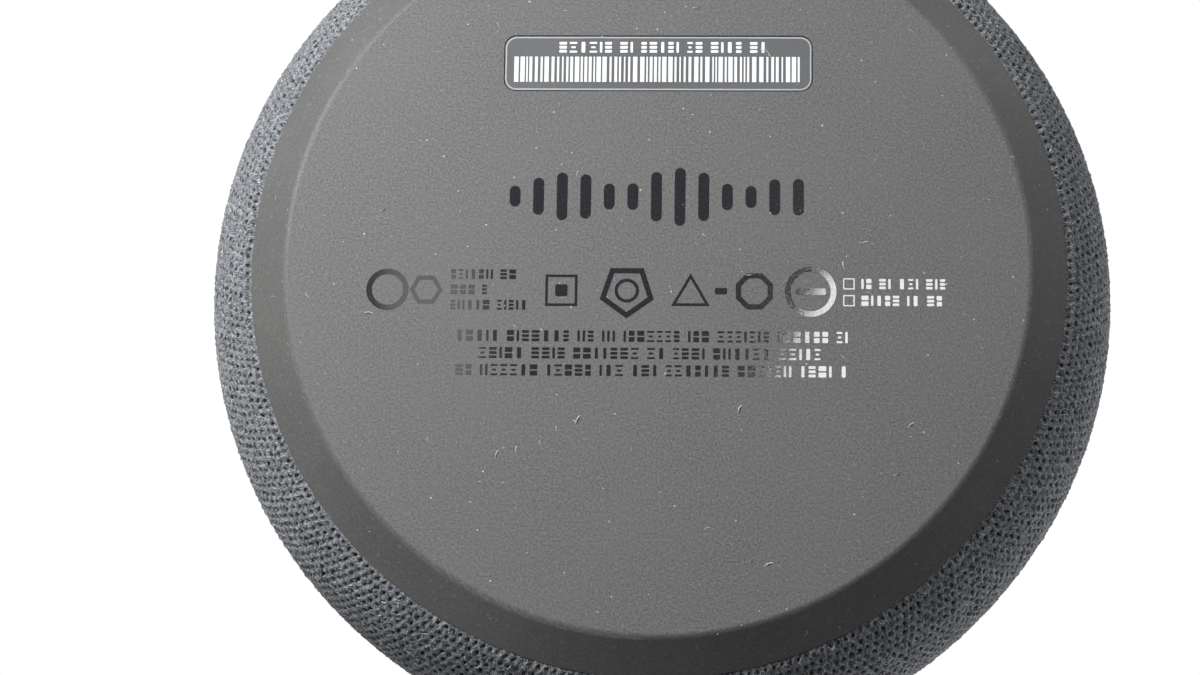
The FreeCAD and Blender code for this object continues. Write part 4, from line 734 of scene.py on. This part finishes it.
def sole_prints(ink):
    """Generic printed marks on the sole: a row of level bars, plain outlines and blocks of small print."""
    bars = Print(SOLE_LEVEL, SOLE_INK)
    count, pitch = 13, 2.5
    for k in range(count):
        swell = 0.45 + 0.55 * math.sin(math.pi * (k + 0.5) / count)
        bars.bar(15.0 - pitch * k, 7.2, 1.15, 1.4 + 5.0 * abs(math.sin(0.35 + 0.62 * k)) * swell, 0.57)
    bars.piece("print_level_bars", ink, "foot_rubber")

    # A ring, a hexagon, a square, a pentagon with a ring in it, a triangle, an octagon and a last ring.
    signs = Print(SOLE_LEVEL, SOLE_INK)
    row, quarter, round_sides = -3.0, math.pi / 2, 40
    signs.outline(28.3, row, 2.25, round_sides, 0.6)
    signs.outline(24.2, row, 1.75, 6, 0.5)
    signs.outline(9.9, row, 2.4, 4, 0.4, quarter / 2)
    signs.bar(9.9, row, 1.3, 1.3)
    signs.outline(3.0, row, 3.0, 5, 0.7, -quarter)
    signs.outline(3.0, row, 1.3, 24, 0.35)
    signs.outline(-3.7, row - 0.45, 2.35, 3, 0.6, quarter)
    signs.bar(-6.9, row, 1.3, 0.7)
    signs.outline(-10.4, row, 2.1, 8, 0.6, quarter / 4)
    signs.outline(-16.3, row, 2.7, round_sides, 0.6)
    signs.bar(-16.3, row, 3.2, 0.7)
    signs.piece("print_outlines", ink, "foot_rubber")

    small = Print(SOLE_LEVEL, SOLE_INK)
    for k, (y, right) in enumerate(((-1.3, 14.6), (-2.95, 17.4), (-4.6, 13.0))):
        small.blocks(21.6, y, right, 1.05, 20 + k)
    for k, y in enumerate((-2.15, -3.95)):
        small.outline(-20.3, y, 0.85, 4, 0.18, quarter / 2)
        small.blocks(-21.6, y, -30.6, 1.1, 30 + k)
    for k, half in enumerate((20.9, 18.5, 20.9)):
        small.blocks(half, -7.9 - 1.83 * k, -half, 1.2, 40 + k)
    small.piece("print_small", ink, "foot_rubber")


def label_prints(pale, edge):
    """A row of blocks and a band of upright stripes in pale ink on the label, and a painted highlight along
    the label's edge.
    """
    # A thin pale ring round the label: a painted highlight on its edge.
    border = Print(LABEL_LEVEL, LABEL_INK)
    border.shape([rounded_bar(0, 21.9, 32.7, 5.9, 1.2), rounded_bar(0, 21.9, 32.4, 5.6, 1.05)])
    border.piece("print_label_edge", edge, "label_film")
    row = Print(LABEL_LEVEL, LABEL_INK)
    row.blocks(10.6, 23.7, -11.9, 1.2, 50)
    row.piece("print_label_blocks", pale, "label_film")
    stripes = Print(LABEL_LEVEL, LABEL_INK)
    x, k = 15.4, 0
    while x > -15.3:
        width = (0.16, 0.3, 0.46, 0.22)[int(7.3 * abs(math.sin(1.7 * k + 0.4))) % 4]
        stripes.bar(x - width / 2, 21.25, width, 2.8, 0.01)
        x -= width + (0.17, 0.3, 0.2)[int(5.1 * abs(math.cos(2.3 * k))) % 3]
        k += 1
    stripes.piece("print_label_stripes", pale, "label_film")


def button_icons(paint):
    """Plain icons that ride on the four buttons: plus, minus, a dot and a struck-out ring."""
    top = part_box("button_volume_up")[1][2] / MM
    for name in ("volume_up", "volume_down", "action", "microphone_off"):
        x, y, _ = ((a + b) / 2 / MM for a, b in zip(*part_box("button_" + name)))
        icon = Print(top - 0.02, 0.035)
        if name in ("volume_up", "volume_down"):
            icon.bar(x, y, 4.0, 0.55)
        if name == "volume_up":
            for side in (-1, 1):
                icon.bar(x, y + side * 1.2, 0.55, 1.7)
        if name == "action":
            icon.outline(x, y, 0.9, 32, 0.88)
        if name == "microphone_off":
            icon.outline(x, y, 2.0, 40, 0.5)
            reach, half = 1.15, 0.18
            slash = ((-reach - half, half - reach), (half - reach, -reach - half),
                     (reach + half, reach - half), (reach - half, reach + half))
            icon.shape([[(x + dx, y + dy) for dx, dy in slash]])
        icon.piece("icon_" + name, paint, "button_plastic", name)


# Lint, dust and loose fibres, scattered by Geometry Nodes


def hair_stamp(name, bend, thickness):
    """One short curved fibre of unit length, three-sided, along X."""
    rings, sides = 5, 3
    points, faces = [], []
    for k in range(rings):
        t = k / (rings - 1)
        sideways, upwards = bend * math.sin(math.pi * t), 0.35 * bend * math.sin(2 * math.pi * t)
        wide = thickness * (0.5 + 0.5 * math.sin(math.pi * (0.15 + 0.7 * t)))
        for y, z in polygon(sideways, upwards, wide, sides):
            points.append((t - 0.5, y, z))
    for low in range(0, (rings - 1) * sides, sides):
        for side in range(sides):
            after = (side + 1) % sides
            faces.append((low + side, low + after, low + sides + after, low + sides + side))
    return bpy.data.objects.new(name, plain_mesh(name, points, faces))


def speck_stamp():
    """One flat crumb of dust of unit size, with an uneven rim."""
    rim = (1, 0.8, 1, 0.7, 0.9, 0.75)
    sides = len(rim)
    points = [(0, 0, 0.35), (0, 0, -0.1)]
    points += [(*polygon(0, 0, r, sides)[k], 0) for k, r in enumerate(rim)]
    pairs = [(2 + k, 2 + (k + 1) % sides) for k in range(sides)]
    faces = [(0, k, j) for k, j in pairs] + [(1, j, k) for k, j in pairs]
    return bpy.data.objects.new("speck", plain_mesh("speck", points, faces))


def scatter_tree():
    """Stamps scattered over a surface: how many, how large and how they lean are its inputs."""
    tree = bpy.data.node_groups.new("scatter", "GeometryNodeTree")
    inputs = {
        "Geometry": "NodeSocketGeometry",
        "Stamp": "NodeSocketObject",
        "Density": "NodeSocketFloat",
        "Smallest": "NodeSocketFloat",
        "Largest": "NodeSocketFloat",
        "Lean": "NodeSocketFloat",
        "Seed": "NodeSocketInt",
        "Material": "NodeSocketMaterial",
    }
    sockets = {}
    for name, kind in inputs.items():
        sockets[name] = tree.interface.new_socket(name, in_out="INPUT", socket_type=kind).identifier
    tree.interface.new_socket("Geometry", in_out="OUTPUT", socket_type="NodeSocketGeometry")
    given = add(tree, "NodeGroupInput", out=None)
    spread = add(tree, "GeometryNodeDistributePointsOnFaces",
                 {"Mesh": given["Geometry"], "Density": given["Density"], "Seed": given["Seed"]}, out=None)
    most = add(tree, "ShaderNodeCombineXYZ", {0: given["Lean"], 1: given["Lean"], 2: math.pi})
    least = add(tree, VECTOR, {0: most, 1: (-1, -1, -1)}, operation="MULTIPLY")
    turn = add(tree, "FunctionNodeRandomValue",
               {0: least, 1: most, "Seed": given["Seed"]}, data_type="FLOAT_VECTOR")
    spin = add(tree, "FunctionNodeEulerToRotation", {0: turn})
    facing = add(tree, "FunctionNodeRotateRotation", {0: spread["Rotation"], 1: spin}, rotation_space="LOCAL")
    size = add(tree, "FunctionNodeRandomValue",
               {2: given["Smallest"], 3: given["Largest"], "Seed": given["Seed"]}, out=1, data_type="FLOAT")
    stamp = add(tree, "GeometryNodeObjectInfo", {"Object": given["Stamp"]}, out="Geometry")
    placed = add(tree, "GeometryNodeInstanceOnPoints",
                 {"Points": spread["Points"], "Instance": stamp, "Rotation": facing, "Scale": size})
    real = add(tree, "GeometryNodeRealizeInstances", {0: placed})
    painted = add(tree, "GeometryNodeSetMaterial", {"Geometry": real, "Material": given["Material"]})
    add(tree, "NodeGroupOutput", {0: painted}, out=None)
    return tree, sockets


def scattered(name, surface, slot, **inputs):
    """A piece made of stamps scattered over a mesh. Density is per square metre, and sizes are in metres."""
    tree, sockets = scatter_tree()
    bpy.context.collection.objects.link(inputs["Stamp"])
    host = bpy.data.objects.new(name + "_host", surface)
    bpy.context.collection.objects.link(host)
    modifier = host.modifiers.new("scatter", "NODES")
    modifier.node_group = tree
    for key, value in inputs.items():
        modifier[sockets[key]] = value
    bpy.context.view_layer.update()
    seen = host.evaluated_get(bpy.context.evaluated_depsgraph_get())
    data = bpy.data.meshes.new_from_object(seen)
    data.name = name
    piece = riding(name, data)
    bpy.data.objects.remove(host)
    bpy.data.objects.remove(inputs["Stamp"])
    return piece


def clear_port(piece):
    """Takes away the fibres that would lie over the sockets' cut-out."""
    clearance = 0.6
    tidy = bmesh.new()
    tidy.from_mesh(piece.data)
    gone = [v for v in tidy.verts if v.co.y > 0 and port_distance(v.co.x / MM, v.co.z / MM) < clearance]
    bmesh.ops.delete(tidy, geom=gone, context="VERTS")
    tidy.to_mesh(piece.data)
    tidy.free()


def litter():
    """Dust and lint on the foot, and fibres that stand out of the knit."""
    scattered("foot_dust", turned_mesh("foot_dust", FOOT_OUTLINE), "foot_rubber",
              Stamp=speck_stamp(), Density=32000, Smallest=0.03 * MM, Largest=0.11 * MM, Lean=0.1,
              Seed=SEED, Material=finish(*DUST))
    scattered("foot_lint", turned_mesh("foot_lint", FOOT_OUTLINE), "foot_rubber",
              Stamp=hair_stamp("lint", 0.22, 0.034), Density=9500, Smallest=0.5 * MM, Largest=1.7 * MM,
              Lean=0.05, Seed=SEED + 1, Material=finish(*LINT))
    radius, height, _ = side_profile(60)
    side = turned_mesh("sleeve_fibres", list(zip(radius - 0.05, height)), 180)
    fibres = scattered("sleeve_fibres", side, "knit",
                       Stamp=hair_stamp("fibre", 0.3, 0.028), Density=420000, Smallest=0.5 * MM,
                       Largest=1.2 * MM, Lean=0.6, Seed=SEED + 2, Material=finish(*FIBRES))
    clear_port(fibres)


# Stage


def stage():
    """A pale floor that is seen only from above."""
    # Matt paper with a faint warm cloud in it.
    made, tree, shader = new_material("floor, pale matt paper")
    place = add(tree, "ShaderNodeTexCoord", out="Object")
    cloud = add(tree, NOISE, {"Vector": place, "Scale": grain(30.0), "Detail": 3.0})
    paper = add(tree, MIX, {0: cloud, 6: linear("e6e5e2"), 7: linear("eeedeb")}, **COLOURS)
    wire(tree, shader, {"Base Color": paper, "Roughness": 0.8})
    under = add(tree, "ShaderNodeNewGeometry", out="Backfacing")
    through = add(tree, "ShaderNodeBsdfTransparent")
    both = add(tree, "ShaderNodeMixShader", {0: under, 1: shader.outputs[0], 2: through})
    wire(tree, tree.nodes["Material Output"], {0: both})
    half, level = 2.0, -0.6 * MM
    corners = [(-half, -half, level), (half, -half, level), (half, half, level), (-half, half, level)]
    data = plain_mesh("floor", corners, [(0, 1, 2, 3)])
    data.materials.append(made)
    floor = bpy.data.objects.new("floor", data)
    bpy.context.collection.objects.link(floor)
    floor.visible_shadow = floor.visible_diffuse = floor.visible_glossy = False


def room():
    """A plain white backdrop, whose light comes from above the floor's level and hardly from below."""
    world = bpy.data.worlds.new("room")
    world.use_nodes = True
    bpy.context.scene.world = world
    tree = world.node_tree
    ray = add(tree, "ShaderNodeTexCoord", out="Generated")
    level = add(tree, "ShaderNodeSeparateXYZ", {0: ray}, out="Z")
    light = add(tree, RANGE, {"Value": level, "From Max": 0.15, "To Min": 0.03, "To Max": 1.02})
    seen = add(tree, "ShaderNodeLightPath", out="Is Camera Ray")
    strength = add(tree, RANGE, {"Value": seen, "To Min": light, "To Max": 1.02})
    wire(tree, tree.nodes["Background"], {"Color": (1, 1, 1, 1), "Strength": strength})


def lamp(name, place, aim, width, power, colour=(1, 1, 1), length=None):
    """A soft rectangular lamp. Places are in metres and its power is in watts."""
    data = bpy.data.lights.new(name, "AREA")
    data.shape = "RECTANGLE"
    data.size, data.size_y = width, length or width
    data.energy = power
    data.color = colour
    made = bpy.data.objects.new(name, data)
    made.location = place
    made.rotation_euler = (Vector(aim) - Vector(place)).to_track_quat("-Z", "Y").to_euler()
    bpy.context.collection.objects.link(made)
    return made


def panel(name, place, turn, width, length, power):
    """A level panel a metre below, which the glossy ink mirrors towards the camera."""
    made = lamp(name, (*place, -1.0), (*place, 0), width, power, length=length)
    facing_up = Matrix.Rotation(math.radians(turn), 3, "Z") @ Matrix.Rotation(math.pi, 3, "X")
    made.rotation_euler = facing_up.to_euler()


def lights():
    """A key and a fill under the foot, two panels for the ink, and a lamp above for the other side."""
    lamp("key_below", (0.151, 0.122, -0.178), (0, 0, 0), 0.1, 1.14, (1.0, 0.995, 0.985))
    lamp("fill_below", (-0.3, 0.2, -0.2), (0, 0, 0), 0.15, 0.36)
    panel("panel_right", (-0.097, 0.1946), 25.3, 0.11, 0.18, 0.8)
    panel("panel_left", (0.1325, 0.1891), -1.5, 0.045, 0.085, 0.021)
    lamp("key_above", (-0.5, -0.4, 0.75), (0, 0, 0.02), 0.5, 3.5)


def camera():
    """Close under the speaker, looking up at its foot with the sockets at the top."""
    forward = Vector((0.0472, 0.1987, 0.9789)).normalized()
    right = Vector((-0.9988, 0.0155, 0.045))
    right = (right - forward * right.dot(forward)).normalized()
    up = right.cross(forward)
    made = bpy.data.objects.new("camera", bpy.data.cameras.new("camera"))
    turn = Matrix((right, up, -forward)).transposed().to_4x4()
    made.matrix_world = Matrix.Translation(Vector((-8.35, -67.39, -292.34)) * MM) @ turn
    made.data.lens = 85.4
    made.data.sensor_width = 36.0
    made.data.clip_start = 0.01
    bpy.context.collection.objects.link(made)
    bpy.context.scene.camera = made


camera()
room()
lights()
stage()
bpy.context.scene.view_settings.view_transform = "Standard"
materials = clothe_frame()
sleeve = knit_sleeve(materials["knit"])
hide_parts("fabric_sleeve")
plies = loose_plies(loose_yarn())
sole_prints(printing_ink())
label_prints(finish(*PALE_INK), finish(*LABEL_EDGE_HIGHLIGHT))
button_icons(finish(*ICON_PAINT))
litter()
